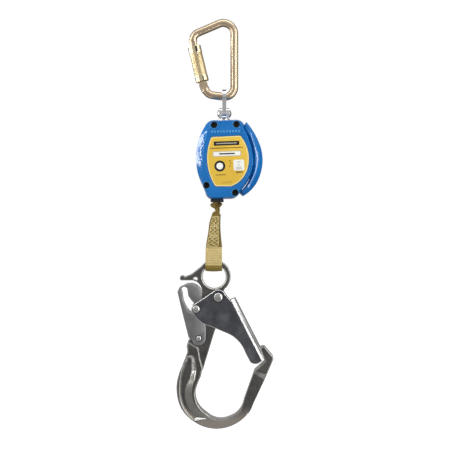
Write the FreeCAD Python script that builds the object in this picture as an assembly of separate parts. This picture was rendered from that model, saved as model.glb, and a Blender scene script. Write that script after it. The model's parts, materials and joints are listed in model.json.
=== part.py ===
import FreeCAD, Part
import math
import os

# Self retracting lifeline, millimetres. +X right, +Z up, the label side faces -Y.
# The origin is the anchor seat: inside the top bow of the carabiner, on the swivel axis.

# ---- carabiner ----
ROD_R = 5.5
HINGE_X = -29.4
HINGE_Z = -84.1
GATE_TILT = 13.4
GATE_R = 6.5
GATE_TOP = 57.2
GATE_WAIST_R = 5.2
NOSE_START = 58.0
NOSE_END = 66.0
TONGUE_END = 46.6
TONGUE_HALF_WIDTH = 2.5
TONGUE_HALF_THICKNESS = 1.4
LATCH_PIN_H = 51.5
LATCH_PIN_R = 1.1
SLEEVE_BOTTOM = 5.9
SLEEVE_TOP = 56.0
SLEEVE_R = 9.25
SLEEVE_WAIST_R = 8.9
COLLAR_LENGTH = 10.0
FORK_R = 6.0
FORK_HALF_GAP = 3.15
HINGE_PIN_R = 2.0
RUNNING_CLEARANCE = 0.05

# ---- swivel ----
LINK_X = 2.75
LINK_EYE_Z = -100.1
LINK_EYE_R = 10.3
LINK_EYE_BORE = 6.7
PIN_Z = -123.9
LINK_TAIL_R = 7.5
CLEVIS_PIN_R = 3.0
CLEVIS_INNER_X = 3.1
CLEVIS_OUTER_X = 6.9
CLEVIS_R = 7.9
PIN_HEAD_R = 6.0
PIN_HEAD_LENGTH = 3.3
CLEVIS_BASE_TOP = -131.8
CLEVIS_BASE_BOTTOM = -138.9
SHANK_R = 5.0
SHANK_END = -155.0
NUT_WIDTH = 15.0
NUT_HEIGHT = 8.0
WASHER_R = 8.2
WASHER_THICKNESS = 1.2

# ---- housing ----
HOUSING_X = 1.0
HOUSING_Z = -190.0
SIDE_DEPTH = 19.0
FACE_DEPTH = 29.5
LOBE_DEPTH = 24.5
LOBE_SIDE_DEPTH = 17.0
WALL = 2.6
WALL_SCALE = 0.95
COVER_GAP = 0.05
COVER_SCREWS = [(-14.1, -142.9), (16.7, -142.2), (-24.6, -226.1), (15.2, -236.3)]
SCREW_HEAD_R = 4.3
SCREW_RECESS_R = 4.8
SCREW_R = 1.8
BOSS_R = 4.6
SCREW_SEAT = 26.0
NUT_SEAT = 22.0
LABEL_DEPTH = 0.8

# ---- load frame ----
FRAME_PLATE_TOP = -139.6
FRAME_PLATE_BOTTOM = -144.0
FRONT_LEG = (-22.9, -20.7)
REAR_LEG = (15.5, 17.7)
FRAME_BEND_R = 4.0
SHAFT_GROOVE = (-24.1, -23.0)
SHAFT_GROOVE_R = 4.2

# ---- drum and brake ----
DRUM_X = 6.0
DRUM_Z = -191.3
SHAFT_R = 5.0
BUSH_R = 7.0
HUB_R = 14.0
FLANGE_R = 38.0
FLANGE_INNER = 13.5
FLANGE_OUTER = 15.0
WEB_HALF_WIDTH = 12.5
WEB_THICKNESS = 1.5
PACK_R = 32.9
RING_R = 37.4
RING_FRONT = -19.6
RING_REAR = -16.0
RING_SCREW_ANGLES = (15, 135, 255)
RING_SCREW_R = 33.3
LINING_R = 34.7
LINING_BORE = 29.5
LINING = (-20.65, -19.65)
RING_BORE = 31.0
POCKET_R = 34.6
POCKET_WIDTH = 10.5
POCKETS = 12
PAWL_PIVOT_R = 21.0
PAWL_PIVOT_ANGLE = 32.8
PAWL_LENGTH = 16.2
PAWL_REST_ANGLE = 80.0
PAWL_TIP_R = 1.9
PAWL_FRONT = -19.2
PAWL_REAR = -16.8
PAWL_PIN_R = 1.5
SPRING_CASE_R = 31.0
SPRING_CASE_FRONT = 17.75
SPRING_CASE_REAR = 25.8
SPRING_TURNS = 9
SPRING_THICKNESS = 0.6
SPRING_INNER_R = 8.4
SPRING_FRONT = 18.8
SPRING_WIDTH = 5.8

# ---- web exit ----
EXIT_X = -10.1
ROLLER_R = 4.0
ROLLER_PIN_R = 1.5
ROLLER_HALF_LENGTH = 13.4
ROLLER_Z = -236.0
EXIT_TOP = -231.0
EXIT_BOTTOM = -249.1
ROLLER_CENTRES = [
    (EXIT_X - WEB_THICKNESS / 2 - ROLLER_R - 0.1, ROLLER_Z),
    (EXIT_X + WEB_THICKNESS / 2 + ROLLER_R + 0.1, ROLLER_Z),
]

# ---- exposed web ----
STRAP_END = -268.7
SLEEVE_START = -313.6
WEB_TURN_X = -10.9
LOOP_BOTTOM = -346.4
LOOP_INNER_R = 5.4
LOOP_THICKNESS = 1.6
SLEEVE_OUTER_R = 7.9
LAYER_GAP = 0.05
LOOP_X = -14.5

# ---- hook ----
EYE_X = -14.3
EYE_Z = -354.4
EYE_R = 23.4
EYE_BORE = 16.5
EYE_HALF = 4.0
FRAME_WEB = 4.0
FRAME_HALF = 8.0
LEVER_INNER = 4.3
LEVER_OUTER = 6.3
GATE_INNER = 6.7
GATE_OUTER = 8.7
SPINE_START = (8.1, -388.0)
SPINE_END = (52.1, -474.4)
SPINE_HOLLOW = 0.9
GATE_PIVOT = (-8.5, -383.3)
LINK_RIVET = (-39.8, -400.1)
LEVER_PIVOT = (-36.2, -442.1)
GATE_PIVOT_R = 4.0
LINK_RIVET_R = 2.4
LEVER_PIVOT_R = 2.5
HOOK_GATE_TRAVEL = 36.0
LEVER_TRAVEL = 10.5
POCKET_DEPTH = 3.5
RECESS_DEPTH = 1.4

X_AXIS = FreeCAD.Vector(1, 0, 0)
Y_AXIS = FreeCAD.Vector(0, 1, 0)
Z_AXIS = FreeCAD.Vector(0, 0, 1)
HINGE = FreeCAD.Vector(HINGE_X, 0, HINGE_Z)
GATE_UP = FreeCAD.Vector(-math.sin(math.radians(GATE_TILT)), 0, math.cos(math.radians(GATE_TILT)))
GATE_IN = FreeCAD.Vector(math.cos(math.radians(GATE_TILT)), 0, math.sin(math.radians(GATE_TILT)))
DRUM_CENTRE = FreeCAD.Vector(DRUM_X, 0, DRUM_Z)


# ---- shape helpers ----
def vec(x, y, z):
    return FreeCAD.Vector(x, y, z)


def write(name, shape):
    shape.exportStep("parts/" + name + ".step")


def group(shapes):
    return Part.makeCompound(shapes)


def fuse(shapes):
    """One solid from overlapping solids."""
    return shapes[0].multiFuse(shapes[1:]).removeSplitter()


def cylinder(radius, start, end):
    direction = end - start
    return Part.makeCylinder(radius, direction.Length, start, direction)


def tube(outer, inner, start, end):
    return cylinder(outer, start, end).cut(cylinder(inner, start, end))


def y_cylinder(radius, centre, y_start, y_end):
    """Cylinder along Y about an (x, z) centre."""
    x, z = centre
    return cylinder(radius, vec(x, y_start, z), vec(x, y_end, z))


def y_tube(outer, inner, centre, y_start, y_end):
    return y_cylinder(outer, centre, y_start, y_end).cut(y_cylinder(inner, centre, y_start, y_end))


def box(x_range, y_range, z_range):
    size = [x_range[1] - x_range[0], y_range[1] - y_range[0], z_range[1] - z_range[0]]
    return Part.makeBox(size[0], size[1], size[2], vec(x_range[0], y_range[0], z_range[0]))


def turned(shape, degrees, centre, axis=Y_AXIS):
    copy = shape.copy()
    copy.rotate(centre, axis, degrees)
    return copy


def mirrored(shape):
    """The same shape on the other side of the Y = 0 plane."""
    return shape.mirror(vec(0, 0, 0), Y_AXIS)


def path_edges(corners, closed):
    """Edges through corners (point, radius), each corner rounded by its own arc."""
    count = len(corners)
    joins = []
    for index, (corner, radius) in enumerate(corners):
        if radius == 0 or (not closed and index in (0, count - 1)):
            joins.append((corner, None, corner))
            continue
        back = (corners[index - 1][0] - corner).normalize()
        ahead = (corners[(index + 1) % count][0] - corner).normalize()
        half = back.getAngle(ahead) / 2
        reach = radius / math.tan(half)
        centre = corner + (back + ahead).normalize() * (radius / math.sin(half))
        middle = centre + (corner - centre).normalize() * radius
        joins.append((corner + back * reach, middle, corner + ahead * reach))
    edges = []
    for index, (start, middle, end) in enumerate(joins):
        if middle is not None:
            edges.append(Part.Arc(start, middle, end).toShape())
        if closed or index < count - 1:
            following = joins[(index + 1) % count][0]
            if end.distanceToPoint(following) > 1e-6:
                edges.append(Part.makeLine(end, following))
    return edges


def rounded_wire(corners, closed=True):
    """Wire in the XZ plane from (x, z, radius) corners."""
    points = [(vec(x, 0, z), radius) for x, z, radius in corners]
    return Part.Wire(path_edges(points, closed))


def drawn_wire(start, steps):
    """Closed XZ wire: a step of 2 numbers is a line to (x, z), of 4 is an arc via (x, z) to (x, z)."""
    edges = []
    here = vec(start[0], 0, start[1])
    for step in steps:
        there = vec(step[-2], 0, step[-1])
        if len(step) == 2:
            edges.append(Part.makeLine(here, there))
        else:
            edges.append(Part.Arc(here, vec(step[0], 0, step[1]), there).toShape())
        here = there
    return Part.Wire(edges)


def plate(wire, y_start, y_end):
    """Extrude an XZ wire between two depths."""
    face = Part.Face(wire)
    face.translate(vec(0, y_start, 0))
    return face.extrude(vec(0, y_end - y_start, 0))


def capsule(start, end, radius, y_start, y_end):
    """Slot-shaped plate between two (x, z) centres."""
    run = vec(end[0] - start[0], 0, end[1] - start[1])
    side = run.cross(Y_AXIS).normalize() * radius
    first = vec(start[0], y_start, start[1])
    second = vec(end[0], y_start, end[1])
    corners = [first + side, second + side, second - side, first - side, first + side]
    strip = Part.Face(Part.makePolygon(corners)).extrude(vec(0, y_end - y_start, 0))
    ends = [y_cylinder(radius, centre, y_start, y_end) for centre in (start, end)]
    return strip.multiFuse(ends)


def along_gate(height, inward=0.0, y=0.0):
    """Point measured from the carabiner hinge along the closed gate."""
    return HINGE + GATE_UP * height + GATE_IN * inward + vec(0, y, 0)


def gate_block(inward, y_range, heights):
    """Box aligned with the closed gate."""
    low, high = heights
    near, far = inward
    y = y_range[0]
    corners = [along_gate(low, near, y), along_gate(low, far, y)]
    corners += [along_gate(high, far, y), along_gate(high, near, y)]
    face = Part.Face(Part.makePolygon(corners + corners[:1]))
    return face.extrude(vec(0, y_range[1] - y_range[0], 0))


# ---- carabiner ----
def carabiner_body():
    fork_neck = along_gate(-7.0, 1.0)
    corners = [(along_gate(NOSE_END), 0)]
    corners += [(along_gate(72.3), 11.4), (vec(14.2, 0, 11.9), 15.6), (vec(14.2, 0, -101.9), 13.5)]
    corners += [(vec(-21.7, 0, -97.3), 13.0), (fork_neck, 0)]
    path = Part.Wire(path_edges(corners, False))
    profile = Part.Wire(Part.makeCircle(ROD_R, along_gate(NOSE_END), GATE_UP))
    rod = path.makePipeShell([profile], True, False)
    nose = cylinder(ROD_R, along_gate(NOSE_START), along_gate(NOSE_END + 0.5))
    nose = nose.common(gate_block((-4.9, 4.9), (-5.0, 5.0), (NOSE_START, NOSE_END + 0.5)))
    tongue_width = (-TONGUE_HALF_WIDTH, TONGUE_HALF_WIDTH)
    tongue_depth = (-TONGUE_HALF_THICKNESS, TONGUE_HALF_THICKNESS)
    tongue = gate_block(tongue_width, tongue_depth, (TONGUE_END, NOSE_START + 1))
    notch = gate_block((-1.6, 4), (-3, 3), (LATCH_PIN_H - 1.8, LATCH_PIN_H + 1.8))
    tongue = tongue.cut(notch)
    fork = fuse([
        y_cylinder(FORK_R, (HINGE_X, HINGE_Z), -FORK_R, FORK_R),
        cylinder(FORK_R, along_gate(0), along_gate(-9.0, 1.6)),
    ])
    gap = fuse([
        y_cylinder(FORK_R + 0.3, (HINGE_X, HINGE_Z), -FORK_HALF_GAP, FORK_HALF_GAP),
        gate_block((-8, 8), (-FORK_HALF_GAP, FORK_HALF_GAP), (0, 9)),
    ])
    body = fuse([rod, nose, tongue, fork]).cut(gap)
    body = body.cut(cylinder(HINGE_PIN_R, along_gate(0, 0, -9), along_gate(0, 0, 9)))
    return body


def carabiner_gate():
    shank = cylinder(GATE_R, along_gate(7.6), along_gate(GATE_TOP))
    waist = tube(GATE_R + 1, GATE_WAIST_R, along_gate(14), along_gate(38))
    tail = fuse([
        y_cylinder(5.4, (HINGE_X, HINGE_Z), -3.0, 3.0),
        gate_block((-5.4, 5.4), (-3.0, 3.0), (0, 9)),
    ])
    slot = gate_block((-8, TONGUE_HALF_WIDTH + 0.5), (-1.9, 1.9), (TONGUE_END - 1.1, GATE_TOP + 1))
    groove = tube(GATE_R + 1, 5.8, along_gate(8.3), along_gate(9.3))
    spring_room = y_cylinder(4.2, (HINGE_X, HINGE_Z), -1.3, 1.3)
    spring_leg = gate_block((-0.6, 0.6), (-0.6, 0.6), (3.0, 12.0))
    gate = fuse([shank, tail]).cut(waist).cut(slot).cut(groove).cut(spring_room).cut(spring_leg)
    gate = gate.cut(cylinder(LATCH_PIN_R, along_gate(LATCH_PIN_H, 0, -7), along_gate(LATCH_PIN_H, 0, 7)))
    bore = HINGE_PIN_R + RUNNING_CLEARANCE
    return gate.cut(cylinder(bore, along_gate(0, 0, -7), along_gate(0, 0, 7)))


def lock_sleeve():
    """Twist sleeve with collars, an exit window behind and short slots in front."""
    collars = fuse([
        cylinder(SLEEVE_WAIST_R, along_gate(SLEEVE_BOTTOM), along_gate(SLEEVE_TOP)),
        cylinder(SLEEVE_R, along_gate(SLEEVE_BOTTOM), along_gate(SLEEVE_BOTTOM + COLLAR_LENGTH * 0.8)),
        cylinder(SLEEVE_R, along_gate(SLEEVE_TOP - COLLAR_LENGTH), along_gate(SLEEVE_TOP)),
    ])
    bore_r = GATE_R + RUNNING_CLEARANCE
    bore = cylinder(bore_r, along_gate(SLEEVE_BOTTOM - 1), along_gate(SLEEVE_TOP + 1))
    ring_room = cylinder(7.9, along_gate(SLEEVE_BOTTOM - 1), along_gate(9.5))
    sleeve = collars.cut(bore).cut(ring_room)
    wedge_face = Part.Face(Part.makePolygon([
        along_gate(TONGUE_END - 0.8),
        along_gate(TONGUE_END - 0.8, -14.0, 0.6),
        along_gate(TONGUE_END - 0.8, -14.0, 14.0),
        along_gate(TONGUE_END - 0.8, -3.0, 14.0),
        along_gate(TONGUE_END - 0.8),
    ]))
    window = wedge_face.extrude(GATE_UP * 12)
    top_slot = gate_block((0.6, 3.4), (-12, -4), (SLEEVE_TOP - 9, SLEEVE_TOP + 1))
    slant = turned(gate_block((0.6, 1.6), (-12, -4), (SLEEVE_TOP - 16, SLEEVE_TOP - 8)), -10,
                   along_gate(SLEEVE_TOP - 8, 1.1))
    foot_slot = gate_block((1.2, 3.0), (-12, -4), (SLEEVE_BOTTOM - 1, SLEEVE_BOTTOM + 6.5))
    return sleeve.cut(window).cut(top_slot).cut(slant).cut(foot_slot)


def build_carabiner():
    write("carabiner_body", carabiner_body())
    write("carabiner_gate", carabiner_gate())
    write("lock_sleeve", lock_sleeve())
    write("gate_hinge_pin", cylinder(HINGE_PIN_R, along_gate(0, 0, -6.4), along_gate(0, 0, 6.4)))
    latch_half = 5.6
    write("gate_latch_pin", cylinder(
        LATCH_PIN_R, along_gate(LATCH_PIN_H, 0, -latch_half), along_gate(LATCH_PIN_H, 0, latch_half)))
    coil = y_tube(3.8, 2.6, (HINGE_X, HINGE_Z), -1.2, 1.2)
    leg = gate_block((-0.5, 0.5), (-0.5, 0.5), (3.2, 11.5))
    write("gate_spring", fuse([coil, leg]))
    write("sleeve_spring", tube(6.4, GATE_WAIST_R + 0.1, along_gate(14.2), along_gate(37.8)))
    write("sleeve_retaining_ring", tube(7.7, 5.8, along_gate(8.35), along_gate(9.25)))


# ---- swivel ----
def yz_plate(corners, x_start, x_end):
    """Extrude a YZ outline of (y, z, radius) corners along X."""
    points = [(vec(x_start, y, z), radius) for y, z, radius in corners]
    face = Part.Face(Part.Wire(path_edges(points, True)))
    return face.extrude(vec(x_end - x_start, 0, 0))


def connector_link():
    eye = cylinder(LINK_EYE_R, vec(-LINK_X, 0, LINK_EYE_Z), vec(LINK_X, 0, LINK_EYE_Z))
    tail = cylinder(LINK_TAIL_R, vec(-LINK_X, 0, PIN_Z), vec(LINK_X, 0, PIN_Z))
    waist = yz_plate([
        (-9.6, LINK_EYE_Z - 3.5, 0), (9.6, LINK_EYE_Z - 3.5, 0), (7.3, PIN_Z, 0), (-7.3, PIN_Z, 0),
    ], -LINK_X, LINK_X)
    link = fuse([eye, tail, waist])
    for bore, height in ((LINK_EYE_BORE, LINK_EYE_Z), (CLEVIS_PIN_R + RUNNING_CLEARANCE, PIN_Z)):
        link = link.cut(cylinder(bore, vec(-9, 0, height), vec(9, 0, height)))
    return link


def clevis_pin():
    """Cross pin with a domed head at each end."""
    parts = [cylinder(CLEVIS_PIN_R, vec(-CLEVIS_OUTER_X, 0, PIN_Z), vec(CLEVIS_OUTER_X, 0, PIN_Z))]
    for side in (-1, 1):
        inner = vec(side * CLEVIS_OUTER_X, 0, PIN_Z)
        head = cylinder(PIN_HEAD_R, inner, inner + vec(side * PIN_HEAD_LENGTH, 0, 0))
        dome_centre = inner + vec(-side * 4.0, 0, 0)
        parts.append(head.common(Part.makeSphere(7.3, dome_centre)))
    return fuse(parts)


def swivel_clevis():
    base = cylinder(CLEVIS_R, vec(0, 0, CLEVIS_BASE_BOTTOM), vec(0, 0, CLEVIS_BASE_TOP))
    shank = cylinder(SHANK_R, vec(0, 0, SHANK_END), vec(0, 0, CLEVIS_BASE_BOTTOM + 0.5))
    parts = [base, shank]
    for side in (-1, 1):
        ear = yz_plate([
            (-6.8, CLEVIS_BASE_TOP - 1, 0), (6.8, CLEVIS_BASE_TOP - 1, 0),
            (6.8, PIN_Z + 7.6, 5.0), (-6.8, PIN_Z + 7.6, 5.0),
        ], side * CLEVIS_INNER_X, side * CLEVIS_OUTER_X)
        parts.append(ear)
    clevis = fuse(parts)
    return clevis.cut(cylinder(CLEVIS_PIN_R, vec(-12, 0, PIN_Z), vec(12, 0, PIN_Z)))


def hexagon(width, centre, height):
    """Hexagonal prism, its width across flats, along Z."""
    radius = width / math.sqrt(3)
    points = []
    for index in range(7):
        angle = math.radians(60 * index)
        points.append(centre + vec(radius * math.cos(angle), radius * math.sin(angle), 0))
    return Part.Face(Part.makePolygon(points)).extrude(vec(0, 0, height))


def build_swivel():
    write("connector_link", connector_link())
    write("clevis_pin", clevis_pin())
    write("swivel_clevis", swivel_clevis())
    washer_top = FRAME_PLATE_BOTTOM - 0.1
    washer_bottom = washer_top - WASHER_THICKNESS
    write("swivel_washer", tube(WASHER_R, SHANK_R, vec(0, 0, washer_bottom), vec(0, 0, washer_top)))
    nut = hexagon(NUT_WIDTH, vec(0, 0, washer_bottom - NUT_HEIGHT), NUT_HEIGHT)
    nut = nut.cut(cylinder(SHANK_R, vec(0, 0, washer_bottom - NUT_HEIGHT), vec(0, 0, washer_bottom)))
    write("swivel_nut", nut)


# ---- housing covers ----
def scaled(point, scale):
    x, z = point
    return (HOUSING_X + (x - HOUSING_X) * scale, HOUSING_Z + (z - HOUSING_Z) * scale)


def scaled_wire(start, steps, scale):
    moved = []
    for step in steps:
        flat = []
        for index in range(0, len(step), 2):
            flat.extend(scaled(step[index:index + 2], scale))
        moved.append(tuple(flat))
    return drawn_wire(scaled(start, scale), moved)


def body_outline(scale):
    """Silhouette of the main body."""
    return scaled_wire((-15, -135.3), [
        (-21.5, -137.3, -26.5, -143.3),
        (-37.6, -169.5, -39.2, -192),
        (-36.9, -208.5, -30.2, -226.1),
        (-26.2, -236.6),
        (-22.6, -243, -15.5, -245),
        (8.5, -244.2),
        (16.0, -242.2, 21.6, -235.5),
        (37, -212.5, 41.3, -190),
        (37.5, -168.5, 28.5, -146.5),
        (25.5, -138.4, 17, -134.6),
        (-15, -135.3),
    ], scale)


def face_outline(scale):
    """Edge of the flat front face, one step for each step of the silhouette."""
    return scaled_wire((-13, -137.6), [
        (-17.4, -139.4, -20.2, -145.5),
        (-28.2, -170, -30.2, -192),
        (-31.4, -207, -28.6, -224.8),
        (-24.8, -235),
        (-21.5, -241, -15, -243),
        (8, -242.2),
        (15, -240.2, 20.2, -233.6),
        (35.2, -211.5, 39.5, -190),
        (35.7, -169, 26.8, -148),
        (24, -140, 16.5, -136.8),
        (-13, -137.6),
    ], scale)


def lobe_outline(scale):
    """Bulging side lobe on the right of the body."""
    return scaled_wire((30.8, -137.3), [
        (42.2, -153.4, 50.7, -172.2),
        (53.5, -191.5, 47.6, -217.6),
        (38.7, -231.1, 26.6, -240.6),
        (18.5, -234.0),
        (32.6, -212, 34, -190),
        (32, -168, 22.5, -149),
        (30.8, -137.3),
    ], scale)


def lobe_crest(scale):
    """Top edge of the lobe, one step for each step of its outline."""
    return scaled_wire((30.2, -142.0), [
        (39.5, -157.0, 46.2, -174.0),
        (48.6, -191.5, 43.6, -214.5),
        (36.5, -226.5, 27.4, -235.6),
        (25.0, -234.0),
        (39.6, -212, 41.8, -190),
        (39.5, -168, 28.6, -147.5),
        (30.2, -142.0),
    ], scale)


def crowned(low, high, side_depth, face_depth):
    """Prism from the parting plane with a sloping edge up to its face outline."""
    prism = plate(low, 0, -side_depth)
    low.translate(vec(0, -side_depth, 0))
    high.translate(vec(0, -face_depth, 0))
    return prism.multiFuse([Part.makeLoft([low, high], True, True)])


def half_shape(scale, inset):
    """Everything in front of the parting plane, its depths less an inset."""
    body = crowned(body_outline(scale), face_outline(scale), SIDE_DEPTH - inset / 4, FACE_DEPTH - inset)
    lobe = crowned(lobe_outline(scale), lobe_crest(scale), LOBE_SIDE_DEPTH, LOBE_DEPTH - inset)
    return body.multiFuse([lobe])


def cover(outer, room):
    shell = outer.cut(room)
    for centre in COVER_SCREWS:
        boss = y_cylinder(BOSS_R, centre, -FACE_DEPTH + 2, 0).common(outer)
        shell = shell.fuse(boss)
    shell = shell.cut(cylinder(CLEVIS_R + 0.6, vec(0, 0, -150), vec(0, 0, -130)))
    mouth = box((EXIT_X - 8.5, EXIT_X + 8.5), (-15.6, 0), (-250, -236))
    shell = shell.cut(mouth)
    return shell.cut(box((-60, 60), (-COVER_GAP, 1), (-260, -120)))


def label_outline(grow):
    """Outline of the label plate, grown or shrunk about its middle."""
    middle_x = 5.0
    middle_z = -193.0

    def place(x, z):
        return (x + math.copysign(grow, x - middle_x), z + math.copysign(grow, z - middle_z))

    top_left = place(-15.5, -159.6)
    steps = [
        place(20.0, -157.9),
        place(22.8, -158.6) + place(24.3, -160.8),
        (33.6 + grow, -184.0) + place(31.5, -205.0),
        place(24.5, -217.3) + place(11.5, -226.6),
        place(10.0, -227.4) + place(8.0, -227.6),
        place(-10.0, -227.6),
        place(-12.3, -227.0) + place(-13.9, -224.9),
        (-23.6 - grow, -193.0) + place(-19.0, -162.5),
        place(-17.8, -160.4) + top_left,
    ]
    return drawn_wire(top_left, steps)


def cover_screw(centre):
    head = y_cylinder(SCREW_HEAD_R, centre, -FACE_DEPTH + 0.3, -SCREW_SEAT)
    shank = y_cylinder(SCREW_R, centre, -SCREW_SEAT - 0.5, NUT_SEAT + 3.0)
    socket = y_cylinder(2.0, centre, -FACE_DEPTH, -FACE_DEPTH + 2.0)
    return head.fuse(shank).cut(socket)


def build_covers():
    front = cover(half_shape(1.0, 0), half_shape(WALL_SCALE, WALL))
    rear = mirrored(front)
    front = front.cut(y_cylinder(LINING_R + 0.6, (DRUM_X, DRUM_Z), LINING[0] - 0.5, 0))
    label_recess = plate(label_outline(0.3), -FACE_DEPTH - 1, -FACE_DEPTH + LABEL_DEPTH)
    front = front.cut(label_recess)
    for centre in COVER_SCREWS:
        front = front.cut(y_cylinder(SCREW_RECESS_R, centre, -FACE_DEPTH - 1, -SCREW_SEAT))
        front = front.cut(y_cylinder(SCREW_R, centre, -FACE_DEPTH, 0))
        rear = rear.cut(y_cylinder(SCREW_R, centre, 0, FACE_DEPTH + 1))
        rear = rear.cut(y_cylinder(SCREW_RECESS_R, centre, NUT_SEAT, FACE_DEPTH + 1))
    write("front_cover", front)
    write("rear_cover", rear)
    write("label_plate", plate(label_outline(0), -FACE_DEPTH + 0.1, -FACE_DEPTH + LABEL_DEPTH))
    write("cover_screws", group([cover_screw(centre) for centre in COVER_SCREWS]))
    nuts = []
    for centre in COVER_SCREWS:
        nuts.append(y_tube(SCREW_HEAD_R, SCREW_R, centre, NUT_SEAT, NUT_SEAT + 4.5))
    write("cover_nuts", group(nuts))


# ---- load frame and shaft ----
def leg_outline():
    return rounded_wire([
        (-9, FRAME_PLATE_TOP, 0), (11.5, FRAME_PLATE_TOP, 0), (11.5, -150, 4), (25, -168, 8),
        (26, -212, 8), (7, -230, 3), (-16, -230, 3), (-24, -212, 8), (-24, -168, 8), (-9, -150, 4),
    ])


def load_frame():
    front = plate(leg_outline(), FRONT_LEG[0], FRONT_LEG[1])
    rear = plate(leg_outline(), REAR_LEG[0], REAR_LEG[1])
    top = box((-9, 11.5), (FRONT_LEG[0], REAR_LEG[1]), (FRAME_PLATE_BOTTOM, FRAME_PLATE_TOP))
    frame = fuse([front, rear, top])
    bend_y = FRONT_LEG[0] + FRAME_BEND_R
    bend_z = FRAME_PLATE_TOP - FRAME_BEND_R
    corner = box((-20, 20), (FRONT_LEG[0] - 1, bend_y), (bend_z, FRAME_PLATE_TOP + 1))
    bend = cylinder(FRAME_BEND_R, vec(-20, bend_y, bend_z), vec(20, bend_y, bend_z))
    frame = frame.cut(corner.cut(bend))
    frame = frame.cut(cylinder(SHANK_R + RUNNING_CLEARANCE, vec(0, 0, -150), vec(0, 0, -130)))
    frame = frame.cut(y_cylinder(SHAFT_R, (DRUM_X, DRUM_Z), -30, 0))
    return frame.cut(y_cylinder(8.7, (DRUM_X, DRUM_Z), 0, 30))


def polar(radius, degrees):
    """(x, z) at a radius and angle about the drum axis, anticlockwise from +X as seen from the front."""
    angle = math.radians(degrees)
    return (DRUM_X + radius * math.cos(angle), DRUM_Z + radius * math.sin(angle))


def ratchet_ring():
    centre = (DRUM_X, DRUM_Z)
    ring = y_tube(RING_R, RING_BORE, centre, RING_FRONT, RING_REAR)
    half = POCKET_WIDTH / 2
    pocket = box((DRUM_X, DRUM_X + POCKET_R), (-22, -15), (DRUM_Z - half, DRUM_Z + half))
    for index in range(POCKETS):
        ring = ring.cut(turned(pocket, index * 360 / POCKETS, DRUM_CENTRE))
    return ring


def ring_screw(degrees):
    return y_cylinder(1.2, polar(RING_SCREW_R, degrees), FRONT_LEG[1], RING_REAR - 0.5)


def spiral_spring():
    """Flat spiral of half turns, wound from the case wall in to the arbor."""
    outer = SPRING_CASE_R - 1.8
    pitch = (outer - SPRING_INNER_R) / SPRING_TURNS
    spiral = []
    radius = SPRING_INNER_R
    for half in range(2 * SPRING_TURNS):
        side = 1 if half % 2 == 0 else -1
        grown = radius + pitch / 2
        mean = (radius + grown) / 2
        middle_x = DRUM_X + side * (radius - mean)
        arc_centre = vec(middle_x, 0, DRUM_Z)
        arcs = []
        for size in (mean, mean + SPRING_THICKNESS):
            start = arc_centre + vec(-side * size, 0, 0)
            top = arc_centre + vec(0, 0, side * size)
            end = arc_centre + vec(side * size, 0, 0)
            arcs.append((start, top, end))
        near, far = arcs
        edges = [
            Part.Arc(*near).toShape(),
            Part.makeLine(near[2], far[2]),
            Part.Arc(*far).toShape(),
            Part.makeLine(far[0], near[0]),
        ]
        face = Part.Face(Part.Wire(Part.__sortEdges__(edges)))
        face.translate(vec(0, SPRING_FRONT, 0))
        spiral.append(face.extrude(vec(0, SPRING_WIDTH, 0)))
        radius = grown
    return spiral[0].multiFuse(spiral[1:])


def build_frame():
    centre = (DRUM_X, DRUM_Z)
    write("load_frame", load_frame())
    shaft = y_cylinder(SHAFT_R, centre, -25.2, SPRING_CASE_REAR)
    groove = y_tube(SHAFT_R + 1, SHAFT_GROOVE_R, centre, SHAFT_GROOVE[0], SHAFT_GROOVE[1])
    write("drum_shaft", shaft.cut(groove))
    write("shaft_retaining_ring", y_tube(8.0, SHAFT_GROOVE_R, centre, SHAFT_GROOVE[0], SHAFT_GROOVE[1]))
    ring = ratchet_ring()
    screws = [ring_screw(degrees) for degrees in RING_SCREW_ANGLES]
    for screw in screws:
        ring = ring.cut(screw)
    lining = y_tube(LINING_R, LINING_BORE, centre, LINING[0], LINING[1])
    for screw in screws:
        lining = lining.cut(screw)
    write("brake_lining", lining)
    write("ratchet_ring", ring)
    write("ring_screws", group(screws))
    case = y_cylinder(SPRING_CASE_R, centre, 18.5, SPRING_CASE_REAR)
    case = case.cut(y_cylinder(SPRING_CASE_R - 1.2, centre, 18, SPRING_CASE_REAR - 1.0))
    write("spring_case", case.cut(y_cylinder(SHAFT_R, centre, 20, 30)))
    lid = y_tube(SPRING_CASE_R, 8.7, centre, SPRING_CASE_FRONT, SPRING_CASE_FRONT + 0.7)
    write("spring_case_lid", lid)
    write("power_spring", spiral_spring())


# ---- drum ----
def pawl_frame(degrees):
    """Pivot and resting tip of a pawl whose pivot stands at an angle on the drum."""
    pivot = polar(PAWL_PIVOT_R, degrees)
    heading = math.radians(degrees + PAWL_REST_ANGLE)
    tip = (pivot[0] + PAWL_LENGTH * math.cos(heading), pivot[1] + PAWL_LENGTH * math.sin(heading))
    return pivot, tip


def pawl(degrees):
    pivot, tip = pawl_frame(degrees)
    heel = y_cylinder(4.0, pivot, PAWL_FRONT, PAWL_REAR)
    arm = capsule(pivot, tip, PAWL_TIP_R, PAWL_FRONT, PAWL_REAR)
    shape = heel.fuse(arm)
    bore = y_cylinder(PAWL_PIN_R + RUNNING_CLEARANCE, pivot, -21, -16)
    return shape.cut(bore).removeSplitter()


def pawl_pivot(degrees):
    pivot = pawl_frame(degrees)[0]
    head = y_cylinder(2.8, pivot, PAWL_FRONT - 0.6, PAWL_FRONT - 0.1)
    return y_cylinder(PAWL_PIN_R, pivot, PAWL_FRONT - 0.3, -FLANGE_INNER - 0.4).fuse(head)


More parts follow.
